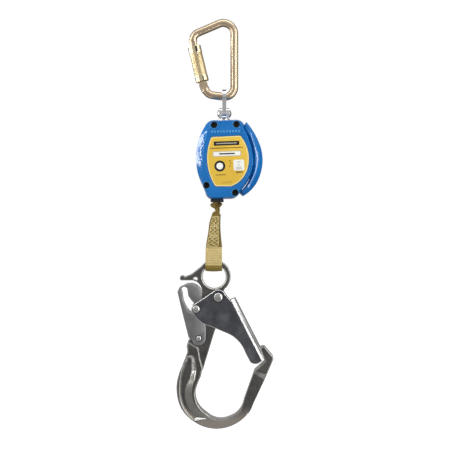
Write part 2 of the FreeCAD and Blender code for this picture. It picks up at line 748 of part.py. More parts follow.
def drum():
    centre = (DRUM_X, DRUM_Z)
    body = y_cylinder(HUB_R, centre, -FLANGE_OUTER, FLANGE_OUTER)
    for side in (-1, 1):
        body = body.fuse(y_cylinder(FLANGE_R, centre, side * FLANGE_INNER, side * FLANGE_OUTER))
    body = body.cut(y_cylinder(BUSH_R, centre, -30, 30))
    for degrees in (PAWL_PIVOT_ANGLE, PAWL_PIVOT_ANGLE + 180):
        body = body.cut(y_cylinder(PAWL_PIN_R, pawl_frame(degrees)[0], -16, -FLANGE_INNER - 0.4))
    lightening = y_cylinder(5.5, polar(26.0, 0), 13, 16)
    for index in range(6):
        body = body.cut(turned(lightening, 60 * index, DRUM_CENTRE))
    return body


def build_drum():
    centre = (DRUM_X, DRUM_Z)
    write("drum", drum())
    write("web_pack", y_tube(PACK_R, HUB_R, centre, -WEB_HALF_WIDTH, WEB_HALF_WIDTH))
    bushes = []
    for side in (-1, 1):
        bush = y_cylinder(BUSH_R, centre, side * 4.0, side * FLANGE_OUTER)
        bushes.append(bush.cut(y_cylinder(SHAFT_R + RUNNING_CLEARANCE, centre, -30, 30)))
    write("shaft_bushes", group(bushes))
    write("spring_arbor", y_tube(8.0, SHAFT_R + 0.3, centre, FLANGE_OUTER, SPRING_CASE_REAR - 1.2))
    angles = (PAWL_PIVOT_ANGLE, PAWL_PIVOT_ANGLE + 180)
    write("pawl_pivots", group([pawl_pivot(degrees) for degrees in angles]))
    write("pawl_springs", group([
        y_tube(3.2, 1.7, pawl_frame(degrees)[0], -16.7, -FLANGE_OUTER) for degrees in angles
    ]))
    write("pawl_a", pawl(angles[0]))
    write("pawl_b", pawl(angles[1]))


# ---- web exit ----
def exit_guide():
    """Rubbery guide block that holds the rollers and lines the mouth of the housing."""
    upper = box((EXIT_X - 8.4, EXIT_X + 8.4), (-15.5, 15.5), (-246, EXIT_TOP))
    lip = box((EXIT_X - 9.2, EXIT_X + 9.2), (-17.5, 17.5), (EXIT_BOTTOM, -245.3))
    vertical = [edge for edge in lip.Edges if edge.BoundBox.ZLength > 3]
    lip = lip.makeFillet(3.0, vertical)
    chamber = box((EXIT_X - 9, EXIT_X + 9), (-13.6, 13.6), (-242.5, EXIT_TOP + 1))
    slot = box((EXIT_X - 1.9, EXIT_X + 1.9), (-13.4, 13.4), (-252, -240))
    guide = fuse([upper, lip]).cut(chamber).cut(slot)
    for roller_centre in ROLLER_CENTRES:
        guide = guide.cut(y_cylinder(ROLLER_PIN_R, roller_centre, -20, 20))
    return guide


def web_run():
    """Inner run: from beside the pack, round the left roller and down into the exit."""
    half = WEB_THICKNESS / 2
    big = PACK_R + half + 0.4
    small = ROLLER_R + half + 0.1
    from_centre = vec(DRUM_X, 0, DRUM_Z)
    to_centre = vec(ROLLER_CENTRES[0][0], 0, ROLLER_Z)
    gap = to_centre - from_centre
    heading = math.atan2(gap.z, gap.x)
    lean = math.acos((big + small) / gap.Length)
    toward = heading - lean
    leave = from_centre + vec(math.cos(toward), 0, math.sin(toward)) * big
    land = to_centre - vec(math.cos(toward), 0, math.sin(toward)) * small
    turn_middle = math.radians((math.degrees(toward) + 180) % 360 / 2)
    middle = to_centre + vec(math.cos(turn_middle), 0, math.sin(turn_middle)) * small
    last = to_centre + vec(small, 0, 0)
    arc = Part.Arc(land, middle, last).toShape()
    drop = Part.makeLine(last, vec(last.x, 0, EXIT_BOTTOM + 0.5))
    run = Part.Wire([Part.makeLine(leave, land), arc, drop])
    tangent = (land - leave).normalize()
    across = tangent.cross(Y_AXIS).normalize() * half
    width = vec(0, WEB_HALF_WIDTH, 0)
    section = [leave + across + width, leave - across + width]
    section += [leave - across - width, leave + across - width]
    profile = Part.makePolygon(section + section[:1])
    return run.makePipeShell([profile], True, False)


def build_exit():
    write("exit_guide", exit_guide())
    write("web_run", web_run())
    for name, roller_centre in zip(("left_roller", "right_roller"), ROLLER_CENTRES):
        bore = ROLLER_PIN_R + RUNNING_CLEARANCE
        write(name, y_tube(ROLLER_R, bore, roller_centre, -ROLLER_HALF_LENGTH, ROLLER_HALF_LENGTH))
    write("roller_pins", group([
        y_cylinder(ROLLER_PIN_R, roller_centre, -15.5, 15.5) for roller_centre in ROLLER_CENTRES
    ]))


# ---- exposed web ----
def band_section(x, y, z, turn, width, thickness):
    """Rectangle of webbing at a height, its broad side turned from edge-on (0) to facing front (90)."""
    angle = math.radians(90 - turn)
    along = vec(math.cos(angle), math.sin(angle), 0) * (width / 2)
    across = vec(-math.sin(angle), math.cos(angle), 0) * (thickness / 2)
    middle = vec(x, y, z)
    corners = [middle + along + across, middle - along + across]
    corners += [middle - along - across, middle + along - across]
    return Part.makePolygon(corners + corners[:1])


def band(sections):
    return Part.makeLoft([band_section(*section) for section in sections], True, True)


def loop_band(inner_r, thickness, width, top):
    """Band that goes down in front of the hook eye, under its bar and up behind."""
    outer_r = inner_r + thickness
    bend_z = LOOP_BOTTOM + SLEEVE_OUTER_R
    flare_z = bend_z + 9.5
    sides = []
    for radius in (outer_r, inner_r):
        reach = radius - LOOP_INNER_R + LAYER_GAP
        sides.append([vec(0, -reach, top), vec(0, -radius, flare_z), vec(0, -radius, bend_z),
                      vec(0, 0, bend_z - radius), vec(0, radius, bend_z), vec(0, radius, flare_z),
                      vec(0, reach, top)])
    outer, inner = sides
    edges = [Part.makeLine(inner[0], outer[0])]
    for line in (outer, inner[::-1]):
        edges.append(Part.makeLine(line[0], line[1]))
        edges.append(Part.makeLine(line[1], line[2]))
        edges.append(Part.Arc(line[2], line[3], line[4]).toShape())
        edges.append(Part.makeLine(line[4], line[5]))
        edges.append(Part.makeLine(line[5], line[6]))
        if line is outer:
            edges.append(Part.makeLine(outer[6], inner[6]))
    face = Part.Face(Part.Wire(edges))
    face.translate(vec(LOOP_X - width / 2, 0, 0))
    return face.extrude(vec(width, 0, 0))


def build_web():
    write("web_strap", band([
        (EXIT_X, 0, EXIT_BOTTOM + 0.4, 0, 25, 1.5),
        (EXIT_X - 1.1, 0, -252.6, 38, 23, 4.0),
        (-11.7, 0, -257.0, 30, 19, 5.0),
        (-9.9, 0, -260.4, 14, 14, 5.0),
        (-11.3, 0, -264.6, 28, 18, 4.2),
        (WEB_TURN_X, 0, STRAP_END, 30, 24, 3.2),
    ]))
    write("web_stitched", band([
        (WEB_TURN_X, 0, STRAP_END - 0.05, 30, 24, 3.2),
        (-12.9, 0, -279.0, 38, 24.2, 3.2),
        (-13.4, 0, -291.0, 43, 24.5, 3.2),
        (-14.0, 0, -303.0, 53, 24.8, 3.2),
        (-14.0, 0, SLEEVE_START, 62, 25, 3.2),
    ]))
    write("web_loop", loop_band(LOOP_INNER_R, LOOP_THICKNESS, 23.4, SLEEVE_START))
    sleeve_inner_r = LOOP_INNER_R + LOOP_THICKNESS
    sleeve = loop_band(sleeve_inner_r, SLEEVE_OUTER_R - sleeve_inner_r, 25.6, SLEEVE_START)
    write("loop_sleeve", sleeve)


# ---- hook ----
def upper_web():
    """Thin web of the frame: shoulder, horn, pivot boss and the back of the spine."""
    wire = drawn_wire((-27, -335.6), [
        (-46.5, -351.0),
        (-56.0, -355.0),
        (-62.9, -358.0, -61.2, -360.0),
        (-43.5, -360.0),
        (-40.6, -361.0, -38.5, -362.6),
        (-33.5, -368.5, -31.5, -378.8),
        (-34.5, -402.0),
        (-37.0, -423.5),
        (-43.0, -436.5),
        (-52.0, -446.5),
        (-54.0, -455.0),
        (-30.2, -487.4),
        (-26.0, -473.2),
        (-20.3, -454.8),
        (-16.0, -440.6),
        (-11.8, -427.8),
        (-7.5, -408.0),
        (-1.5, -391.0),
        (-0.4, -380.9, 0.0, -374.0),
        (5.5, -363.5),
        (-10.0, -340.0),
        (-27, -335.6),
    ])
    web = plate(wire, -FRAME_WEB, FRAME_WEB)
    boss = y_cylinder(8.3, GATE_PIVOT, -LEVER_OUTER, LEVER_OUTER)
    notch = y_cylinder(2.4, (-40.6, -357.8), -9, 9)
    return fuse([web, boss]).cut(notch)


def sloped_pocket(rim, floor, depth):
    """Pocket in the front of the lower frame, sloping from its rim to a smaller floor."""
    rim.translate(vec(0, -FRAME_HALF - 0.01, 0))
    floor.translate(vec(0, depth - FRAME_HALF, 0))
    return Part.makeLoft([rim, floor], True, True)


def back_pocket():
    """Crescent along the back of the bowl, with a broad slope on its inner side."""
    rim = drawn_wire((-53.0, -474.0), [
        (-49.5, -467.0, -43.0, -471.0),
        (-40.4, -487.4),
        (-42.4, -501.6),
        (-45.2, -524.0, -37.0, -542.5),
        (-26.5, -555.0),
        (-40.5, -558.0),
        (-56.5, -541.0, -62.3, -515.0),
        (-61.0, -497.0, -53.0, -474.0),
    ])
    floor = drawn_wire((-51.8, -475.0), [
        (-49.3, -470.5, -46.8, -474.5),
        (-46.0, -487.4),
        (-49.6, -501.6),
        (-56.0, -522.0, -49.5, -542.5),
        (-40.5, -555.0),
        (-42.3, -556.5),
        (-56.0, -540.0, -61.2, -515.0),
        (-60.0, -498.0, -51.8, -475.0),
    ])
    return sloped_pocket(rim, floor, POCKET_DEPTH)


def arm_recess():
    """Shallow flat on the arm between the bowl and the nose."""
    rim = drawn_wire((32.0, -484.9), [(72.0, -496.7), (46.0, -553.0), (14.0, -540.0), (32.0, -484.9)])
    floor = drawn_wire((32.0, -485.7), [(66.0, -506.3), (52.0, -536.0), (20.0, -524.0), (32.0, -485.7)])
    return sloped_pocket(rim, floor, RECESS_DEPTH)


def lower_body():
    """Thick lower frame: ear, back, bowl and nose; the gate nests in its stepped inner edge."""
    wire = drawn_wire((-53.0, -450.5), [
        (-52.5, -461.9),
        (-61.2, -485.0),
        (-67.4, -505.0, -66.8, -524.3),
        (-59.5, -544.5, -43.0, -560.5),
        (-25.0, -569.0, -3.3, -570.2),
        (19.0, -562.0, 35.1, -547.1),
        (38.3, -542.0, 40.4, -536.5),
        (60.6, -493.1),
        (69.3, -472.8),
        (69.6, -468.8, 68.0, -465.8),
        (59.2, -455.6),
        (54.6, -453.2, 51.2, -457.6),
        (57.6, -474.4),
        (43.4, -486.9),
        (28.0, -530.0),
        (21.8, -544.8, 8.0, -554.4),
        (-9.0, -557.2, -24.6, -549.2),
        (-37.8, -535.0, -40.9, -517.0),
        (-37.9, -507.0, -33.1, -495.9),
        (-30.2, -484.5),
        (-34.2, -470.4),
        (-35.9, -459.0),
        (-37.2, -455.0, -40.0, -453.3),
        (-51.0, -447.0),
        (-53.0, -450.5),
    ])
    body = plate(wire, -FRAME_HALF, FRAME_HALF)
    for hollow in (back_pocket(), arm_recess()):
        body = body.cut(hollow).cut(mirrored(hollow))
    return body


def hook_frame():
    eye = y_cylinder(EYE_R, (EYE_X, EYE_Z), -EYE_HALF, EYE_HALF)
    frame = fuse([eye, upper_web(), lower_body()])
    frame = frame.cut(y_cylinder(EYE_BORE, (EYE_X, EYE_Z), -20, 20))
    frame = frame.cut(y_cylinder(6.2, LEVER_PIVOT, -1.6, 1.6))
    frame = frame.cut(y_cylinder(GATE_PIVOT_R, GATE_PIVOT, -20, 20))
    frame = frame.cut(y_cylinder(LEVER_PIVOT_R, LEVER_PIVOT, -20, 20))
    rim = [edge for edge in frame.Edges
           if edge.Curve.TypeId == "Part::GeomCircle" and abs(edge.Curve.Radius - EYE_BORE) < 0.01]
    return frame.makeFillet(2.5, rim)


def gate_outline():
    return drawn_wire((-44.3, -394.6), [
        (-15.0, -375.0),
        (-6.5, -372.7, 0.9, -378.5),
        SPINE_START,
        SPINE_END,
        (45.2, -478.1, 36.5, -475.3),
        (29.0, -461.0),
        (20.5, -446.5, 7.0, -436.0),
        (-20.3, -424.2),
        (-33.5, -418.6, -44.3, -405.6),
        (-46.9, -400.1, -44.3, -394.6),
    ])


def spine_half(radius, share):
    """Outer half of a round bar along the edge of the gate plates."""
    start = vec(SPINE_START[0], 0, SPINE_START[1])
    run = vec(SPINE_END[0], 0, SPINE_END[1]) - start
    out = run.cross(Y_AXIS).normalize() * (GATE_OUTER + 1)
    end = start + run * share
    corners = [start, end, end + out, start + out, start]
    outside = plate(Part.makePolygon(corners), -GATE_OUTER - 1, GATE_OUTER + 1)
    return cylinder(radius, start, end).common(outside)


def hook_gate():
    """Bent channel gate: two side plates, a rounded spine along the outer edge and a closed tip."""
    solid = fuse([plate(gate_outline(), -GATE_OUTER, GATE_OUTER), spine_half(GATE_OUTER, 1.0)])
    room = plate(drawn_wire((-60, -385), [
        (-20, -355),
        (12.0, -372.0),
        SPINE_START,
        (47.7, -465.8),
        (39.5, -467.5),
        (10.0, -470.0),
        (-60, -440),
        (-60, -385),
    ]), -GATE_INNER, GATE_INNER)
    nest = plate(drawn_wire((55.5, -452.3), [
        (51.6, -453.6),
        (50.3, -457.0),
        (57.0, -474.5),
        (57.0, -480.0),
        (80.0, -480.0),
        (80.0, -452.3),
        (55.5, -452.3),
    ]), -GATE_OUTER - 1, GATE_OUTER + 1)
    gate = solid.cut(room).cut(spine_half(GATE_INNER, SPINE_HOLLOW)).cut(nest)
    gate = gate.cut(y_cylinder(GATE_PIVOT_R + RUNNING_CLEARANCE, GATE_PIVOT, -20, 20))
    return gate.cut(y_cylinder(LINK_RIVET_R, LINK_RIVET, -20, 20))


def lever_outline():
    return drawn_wire((-66.2, -378.0), [
        (-64.8, -371.5, -58.6, -367.5),
        (-49.0, -364.2, -40.2, -366.0),
        (-34.5, -370.5, -31.8, -382.3),
        (-27.0, -410.0),
        (-26.2, -430.0),
        (-26.5, -442.1),
        (-36.2, -451.8, -45.6, -444.6),
        (-50.6, -441.3),
        (-58.6, -409.3),
        (-66.2, -378.0),
    ])


def link_path():
    """Path of the link rivet, in the lever's own frame, as gate and lever move together."""
    pivot = vec(GATE_PIVOT[0], 0, GATE_PIVOT[1])
    lever = vec(LEVER_PIVOT[0], 0, LEVER_PIVOT[1])
    path = []
    for index in range(9):
        share = index / 8
        spot = Part.Vertex(vec(LINK_RIVET[0], 0, LINK_RIVET[1]))
        spot.rotate(pivot, Y_AXIS, HOOK_GATE_TRAVEL * share)
        spot.rotate(lever, Y_AXIS, -LEVER_TRAVEL * share)
        path.append((spot.Point.x, spot.Point.z))
    return path


def lock_lever():
    """Channel lever astride the spine, its back outward, with the slot that frees the gate."""
    solid = plate(lever_outline(), -LEVER_OUTER, LEVER_OUTER)
    room = plate(drawn_wire((-62.0, -360.0), [
        (-62.0, -385.0),
        (-55.8, -409.0),
        (-48.8, -433.5),
        (-56.0, -436.5),
        (-56.0, -470.0),
        (-10.0, -470.0),
        (-10.0, -360.0),
        (-62.0, -360.0),
    ]), -LEVER_INNER, LEVER_INNER)
    lever = solid.cut(room)
    crescent = drawn_wire((-58.8, -377.0), [
        (-58.6, -369.6, -52.4, -372.0),
        (-50.8, -382.0, -45.9, -394.4),
        (-45.9, -406.0),
        (-56.0, -393.0, -58.8, -377.0),
    ])
    lever = lever.cut(plate(crescent, -20, 20))
    path = link_path()
    for start, end in zip(path, path[1:]):
        lever = lever.cut(capsule(start, end, LINK_RIVET_R + 0.4, -20, 20))
    return lever.cut(y_cylinder(LEVER_PIVOT_R + RUNNING_CLEARANCE, LEVER_PIVOT, -20, 20))


def rivet(centre, shank_r, head_r, seat, head_height):
    """Shank with a domed head at each end."""
    x, z = centre
    parts = [y_cylinder(shank_r, centre, -seat - 0.5, seat + 0.5)]
    dome_r = (head_r ** 2 + head_height ** 2) / (2 * head_height)
    for side in (-1, 1):
        slab = y_cylinder(head_r, centre, side * seat, side * (seat + head_height))
        dome = Part.makeSphere(dome_r, vec(x, side * (seat + head_height - dome_r), z))
        parts.append(slab.common(dome))
    return fuse(parts)


def build_hook():
    write("hook_frame", hook_frame())
    write("hook_gate", hook_gate())
    write("lock_lever", lock_lever())
    write("gate_pivot_rivet", rivet(GATE_PIVOT, GATE_PIVOT_R, 6.5, GATE_OUTER + 0.1, 2.4))
    write("gate_link_rivet", rivet(LINK_RIVET, LINK_RIVET_R, 5.3, GATE_OUTER, 2.0))
    write("lever_rivet", rivet(LEVER_PIVOT, LEVER_PIVOT_R, 3.8, LEVER_OUTER + 0.1, 1.5))
    write("lever_spring", y_tube(4.6, LEVER_PIVOT_R, LEVER_PIVOT, -1.4, 1.4))
    springs = [y_tube(8.0, GATE_PIVOT_R, GATE_PIVOT, LEVER_OUTER, GATE_INNER - 0.05)]
    springs += [mirrored(springs[0])]
    write("gate_return_springs", group(springs))


os.makedirs("parts", exist_ok=True)
build_carabiner()
build_swivel()
build_covers()
build_frame()
build_drum()
build_exit()
build_web()
build_hook()
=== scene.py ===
import json
import math

import bmesh
import bpy
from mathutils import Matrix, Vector

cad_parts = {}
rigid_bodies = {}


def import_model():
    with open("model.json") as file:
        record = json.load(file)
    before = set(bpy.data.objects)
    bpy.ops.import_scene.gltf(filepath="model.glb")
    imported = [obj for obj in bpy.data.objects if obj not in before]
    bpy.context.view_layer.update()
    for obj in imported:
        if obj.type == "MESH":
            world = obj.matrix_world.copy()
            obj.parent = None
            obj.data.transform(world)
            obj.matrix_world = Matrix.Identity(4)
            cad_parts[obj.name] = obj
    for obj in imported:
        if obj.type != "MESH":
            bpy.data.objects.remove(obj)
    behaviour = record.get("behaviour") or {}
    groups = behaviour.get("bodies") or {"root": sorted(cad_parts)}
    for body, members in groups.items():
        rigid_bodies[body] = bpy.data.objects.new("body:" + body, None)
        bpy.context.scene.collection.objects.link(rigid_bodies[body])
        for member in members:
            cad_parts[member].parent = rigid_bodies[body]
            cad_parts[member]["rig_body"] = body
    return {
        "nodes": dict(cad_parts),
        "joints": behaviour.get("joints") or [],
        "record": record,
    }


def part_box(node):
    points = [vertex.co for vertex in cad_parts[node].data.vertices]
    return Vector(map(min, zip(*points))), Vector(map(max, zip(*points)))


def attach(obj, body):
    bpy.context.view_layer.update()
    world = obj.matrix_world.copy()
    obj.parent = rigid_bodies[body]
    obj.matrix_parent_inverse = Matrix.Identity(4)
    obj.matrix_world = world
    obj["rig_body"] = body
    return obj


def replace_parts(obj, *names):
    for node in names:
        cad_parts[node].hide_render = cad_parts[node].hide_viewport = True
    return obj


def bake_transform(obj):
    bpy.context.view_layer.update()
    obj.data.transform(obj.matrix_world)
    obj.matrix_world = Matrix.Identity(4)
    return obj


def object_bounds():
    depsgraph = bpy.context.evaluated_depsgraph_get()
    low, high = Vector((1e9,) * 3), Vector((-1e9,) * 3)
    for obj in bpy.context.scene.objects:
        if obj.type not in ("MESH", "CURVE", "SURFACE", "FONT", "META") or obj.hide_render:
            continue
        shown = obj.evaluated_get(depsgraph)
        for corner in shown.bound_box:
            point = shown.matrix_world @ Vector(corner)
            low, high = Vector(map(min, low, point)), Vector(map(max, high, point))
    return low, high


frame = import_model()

cad_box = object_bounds()
MM = 0.001
NODES = frame["nodes"]


# ---- stage: floor, backdrop, light and camera ----
CAMERA_TARGET = Vector((0.0010, 0.0, -0.2815))
CAMERA_DISTANCE = 1.05
CAMERA_RISE = 0.02
SENSOR_WIDTH = 36
VIEW_HEIGHT = 0.639
FLOOR_DROP = 1.75
FLOOR_SIZE = 40.0
FLOOR_GLOW = 0.62
WORLD_BY_HEIGHT = ((0.0, 0.6), (0.35, 0.6), (0.50, 0.75), (0.62, 0.95), (1.0, 1.1))
WORLD_BY_DEPTH = ((0.0, 0.60), (0.15, 0.42), (0.28, 1.05), (0.47, 1.2), (0.60, 0.20),
                  (0.80, 0.18), (1.0, 0.50))


# ---- nodes ----
def is_socket(value):
    return isinstance(value, bpy.types.NodeSocket)


def feed(tree, socket, value):
    """Links the socket to another node's output, or sets it to a plain value."""
    if is_socket(value):
        tree.links.new(value, socket)
    else:
        socket.default_value = value


def add_node(tree, kind, inputs=None, **settings):
    """New node with its settings made first, then each input linked or set."""
    node = tree.nodes.new(kind)
    for name, value in settings.items():
        setattr(node, name, value)
    for name, value in (inputs or {}).items():
        feed(tree, node.inputs[name], value)
    return node


def maths(tree, operation, *values):
    node = add_node(tree, "ShaderNodeMath", dict(enumerate(values)), operation=operation)
    return node.outputs[0]


def grey(value):
    return (value, value, value)


def ramp(tree, source, stops):
    """Colours at positions along a 0 to 1 source."""
    node = add_node(tree, "ShaderNodeValToRGB", {0: source})
    elements = node.color_ramp.elements
    while len(elements) < len(stops):
        elements.new(0.5)
    for element, (position, colour) in zip(elements, stops):
        element.position = position
        element.color = (*colour, 1)
    return node.outputs[0]


def mixed(tree, factor, first, second, mode="MIX"):
    sides = {side: value if is_socket(value) else (*value, 1)
             for side, value in (("A", first), ("B", second))}
    node = add_node(tree, "ShaderNodeMix", {"Factor": factor, **sides}, data_type="RGBA", blend_type=mode)
    return node.outputs["Result"]


def coordinates(tree, kind="Object"):
    return add_node(tree, "ShaderNodeTexCoord").outputs[kind]


def split_axes(tree, source):
    return add_node(tree, "ShaderNodeSeparateXYZ", {0: source}).outputs


# ---- studio ----
def add_stage():
    """Plain pale floor, seen by the camera only, so the studio's own light stays even."""
    low = cad_box[0][2] - FLOOR_DROP
    half = FLOOR_SIZE / 2
    mesh = bpy.data.meshes.new("floor")
    mesh.from_pydata([(x * half, y * half, low) for x, y in ((-1, -1), (1, -1), (1, 1), (-1, 1))],
                     [], [(0, 1, 2, 3)])
    floor = bpy.data.objects.new("floor", mesh)
    bpy.context.collection.objects.link(floor)
    paper = new_material("studio_white", grey(0.9), 0.9)
    dress(paper, {"Emission Color": (1, 1, 1, 1), "Emission Strength": FLOOR_GLOW})
    mesh.materials.append(paper)
    floor.visible_glossy = False
    floor.visible_diffuse = False
    floor.visible_shadow = False


def add_area_light(name, place, target, size, power, seen_in_gloss=True):
    data = bpy.data.lights.new(name, "AREA")
    data.shape = "RECTANGLE"
    data.size, data.size_y = size
    data.energy = power
    light = bpy.data.objects.new(name, data)
    light.location = place
    light.visible_glossy = seen_in_gloss
    light.rotation_euler = (Vector(target) - Vector(place)).to_track_quat("-Z", "Y").to_euler()
    bpy.context.collection.objects.link(light)


def add_lights():
    middle = CAMERA_TARGET
    housing = middle + Vector((0, 0, 0.09))
    strip = (0.12, 1.3)
    wall = (0.5, 1.0)
    add_area_light("key_left", (-0.85, -0.55, 0.15), middle, strip, 2.8)
    add_area_light("strip_right", (0.85, -0.40, -0.15), middle, strip, 2.2)
    add_area_light("strip_front", (0.57, -0.82, -0.19), housing, strip, 3.2)
    add_area_light("top", (0.1, -0.45, 0.75), middle, (0.9, 0.35), 2)
    add_area_light("edge_left", housing + Vector((-0.95, 0.17, 0.20)), housing, (0.16, 0.60), 3.6)
    add_area_light("back_left", (-0.9, 0.9, 0.3), middle, wall, 9, False)
    add_area_light("back_right", (0.9, 1.1, 0.1), middle, wall, 7, False)


def add_world():
    """White behind the object, and a studio graded by height and depth in its reflections."""
    world = bpy.data.worlds.new("studio")
    bpy.context.scene.world = world
    world.use_nodes = True
    tree = world.node_tree
    tree.nodes.clear()
    axes = split_axes(tree, coordinates(tree, "Generated"))

    def graded(axis, stops):
        share = maths(tree, "MULTIPLY_ADD", axes[axis], 0.5, 0.5)
        return ramp(tree, share, [(position, grey(value)) for position, value in stops])

    shade = mixed(tree, 1.0, graded("Z", WORLD_BY_HEIGHT), graded("Y", WORLD_BY_DEPTH), "MULTIPLY")
    studio = add_node(tree, "ShaderNodeBackground", {0: shade, 1: 1.0})
    paper = add_node(tree, "ShaderNodeBackground", {0: (1, 1, 1, 1)})
    seen = add_node(tree, "ShaderNodeLightPath").outputs["Is Camera Ray"]
    choice = add_node(tree, "ShaderNodeMixShader", {0: seen, 1: studio.outputs[0], 2: paper.outputs[0]})
    add_node(tree, "ShaderNodeOutputWorld", {0: choice.outputs[0]})


def add_camera():
    data = bpy.data.cameras.new("camera")
    camera = bpy.data.objects.new("camera", data)
    bpy.context.collection.objects.link(camera)
    camera.location = CAMERA_TARGET + Vector((0, -CAMERA_DISTANCE, CAMERA_RISE))
    camera.rotation_euler = (CAMERA_TARGET - camera.location).to_track_quat("-Z", "Y").to_euler()
    data.sensor_width = SENSOR_WIDTH
    data.lens = SENSOR_WIDTH * CAMERA_DISTANCE / VIEW_HEIGHT
    data.clip_start = 0.01
    bpy.context.scene.camera = camera
    bpy.context.scene.view_settings.view_transform = "Standard"


# ---- materials ----
EVEN = (1, 1, 1)


def new_material(name, colour, roughness, metallic=0.0):
    material = bpy.data.materials.new(name)
    material.use_nodes = True
    dress(material, {"Base Color": (*colour, 1), "Roughness": roughness, "Metallic": metallic})
    return material


def shader_of(material):
    return material.node_tree.nodes["Principled BSDF"]


def dress(material, inputs):
    """Links or sets inputs of the material's shader."""
    for name, value in inputs.items():
        feed(material.node_tree, shader_of(material).inputs[name], value)


def object_noise(tree, scale, detail=4.0, stretch=EVEN):
    """Noise in the object's own metres, optionally drawn out along an axis."""
    mapping = add_node(tree, "ShaderNodeMapping", {"Vector": coordinates(tree), "Scale": stretch})
    noise = add_node(tree, "ShaderNodeTexNoise",
                     {"Vector": mapping.outputs["Vector"], "Scale": scale, "Detail": detail})
    return noise.outputs["Fac"]


def ramp_between(tree, source, low, high, start=0.3, end=0.7):
    """Colours or grey values spread over part of a 0 to 1 source."""
    return ramp(tree, source, ((start, low), (end, high)))


def bumped(tree, height, strength, distance):
    bump = add_node(tree, "ShaderNodeBump", {"Strength": strength, "Distance": distance, "Height": height})
    return bump.outputs["Normal"]


# Mask for the bright edges: partly worn metal, partly painted highlight where light catches the edges.
def edge_wear_and_highlight_mask(tree, reach=0.0006):
    """1 beside sharp edges, 0 elsewhere."""
    flat = add_node(tree, "ShaderNodeNewGeometry").outputs["True Normal"]
    bevel = add_node(tree, "ShaderNodeBevel", {"Radius": reach}, samples=6)
    dot = add_node(tree, "ShaderNodeVectorMath", {0: flat, 1: bevel.outputs["Normal"]},
                   operation="DOT_PRODUCT")
    return ramp_between(tree, dot.outputs["Value"], grey(1), grey(0), 0.86, 0.99)


def metal(name, colour, light, roughness, grain, bump, speck=0.86, worn=None, stretch=EVEN):
    """Metal with mottled colour and gloss, fine grain and, if given, bright edges that are partly wear and
    partly painted highlight.
    """
    material = new_material(name, colour, roughness, 1.0)
    tree = material.node_tree
    broad = object_noise(tree, 60, 3.0)
    fine = object_noise(tree, grain, 6.0, stretch)
    speckle = ramp_between(tree, fine, grey(speck), grey(1.0), 0.35, 0.65)
    tint = mixed(tree, 1.0, ramp_between(tree, broad, colour, light), speckle, "MULTIPLY")
    # Bright edge colour: partly wear, partly painted highlight.
    if worn is not None:
        tint = mixed(tree, edge_wear_and_highlight_mask(tree), tint, worn)
    gloss = ramp_between(tree, fine, grey(max(roughness - 0.07, 0.03)), grey(roughness + 0.09))
    dress(material, {"Base Color": tint, "Roughness": gloss, "Normal": bumped(tree, fine, bump, 0.0002)})
    return material


def paint_bowl_reflection(material, reflected_colour, start_z, end_z):
    """Painted reflection: blends the base colour toward a lighter colour between two heights, for light from
    below reflected on the hook's bowl.
    """
    tree = material.node_tree
    base = shader_of(material).inputs["Base Color"]
    share = add_node(tree, "ShaderNodeMapRange",
                     {"Value": split_axes(tree, coordinates(tree))["Z"],
                      "From Min": start_z, "From Max": end_z}, interpolation_type="SMOOTHSTEP")
    feed(tree, base, mixed(tree, share.outputs["Result"], base.links[0].from_socket, reflected_colour))


GATE_HINGE = Vector((-29.4, 0, -84.1)) * MM
GATE_TILT = math.radians(13.4)
GATE_UP = Vector((-math.sin(GATE_TILT), 0, math.cos(GATE_TILT)))
COLLARS = (0.01395, 0.04595)
# Lighter colour of the smooth sleeve ends: painted highlight.
COLLAR_HIGHLIGHT_COLOUR = (0.84, 0.73, 0.47)
COLLAR_ROUGHNESS = 0.24


def add_collars(material):
    """Turns both ends of the lock sleeve, by height up the gate from its hinge, smooth, with a lighter colour
    that is painted highlight.
    """
    tree = material.node_tree
    dot = add_node(tree, "ShaderNodeVectorMath", {0: coordinates(tree), 1: GATE_UP},
                   operation="DOT_PRODUCT")
    height = dot.outputs["Value"]
    low, high = (level + GATE_HINGE.dot(GATE_UP) for level in COLLARS)
    either = maths(tree, "ADD", maths(tree, "LESS_THAN", height, low),
                   maths(tree, "GREATER_THAN", height, high))
    for name, bright in (("Base Color", COLLAR_HIGHLIGHT_COLOUR), ("Roughness", grey(COLLAR_ROUGHNESS))):
        socket = shader_of(material).inputs[name]
        feed(tree, socket, mixed(tree, either, socket.links[0].from_socket, bright))


def moulded_plastic(name, colour, light, roughness, coat):
    material = new_material(name, colour, roughness)
    tree = material.node_tree
    scuffs = object_noise(tree, 900, 5.0, (1, 1, 0.15))
    dress(material, {
        "Coat Weight": coat,
        "Coat Roughness": 0.08,
        "Specular IOR Level": 0.42,
        "Base Color": ramp_between(tree, object_noise(tree, 35, 2.0), colour, light),
        "Roughness": ramp_between(tree, scuffs, grey(roughness), grey(roughness + 0.12), 0.45, 0.75),
        "Normal": bumped(tree, object_noise(tree, 260, 2.0), 0.015, 0.0004),
    })
    return material


def rubber(name, colour, light):
    material = new_material(name, colour, 0.55)
    tree = material.node_tree
    fine = object_noise(tree, 2500, 4.0)
    dress(material, {
        "Base Color": ramp_between(tree, object_noise(tree, 90, 4.0), colour, light),
        "Roughness": ramp_between(tree, fine, grey(0.45), grey(0.7)),
        "Normal": bumped(tree, fine, 0.35, 0.0002),
    })
    return material


WEAVE_PITCH = 0.0011
RIB_PITCH = 0.0024


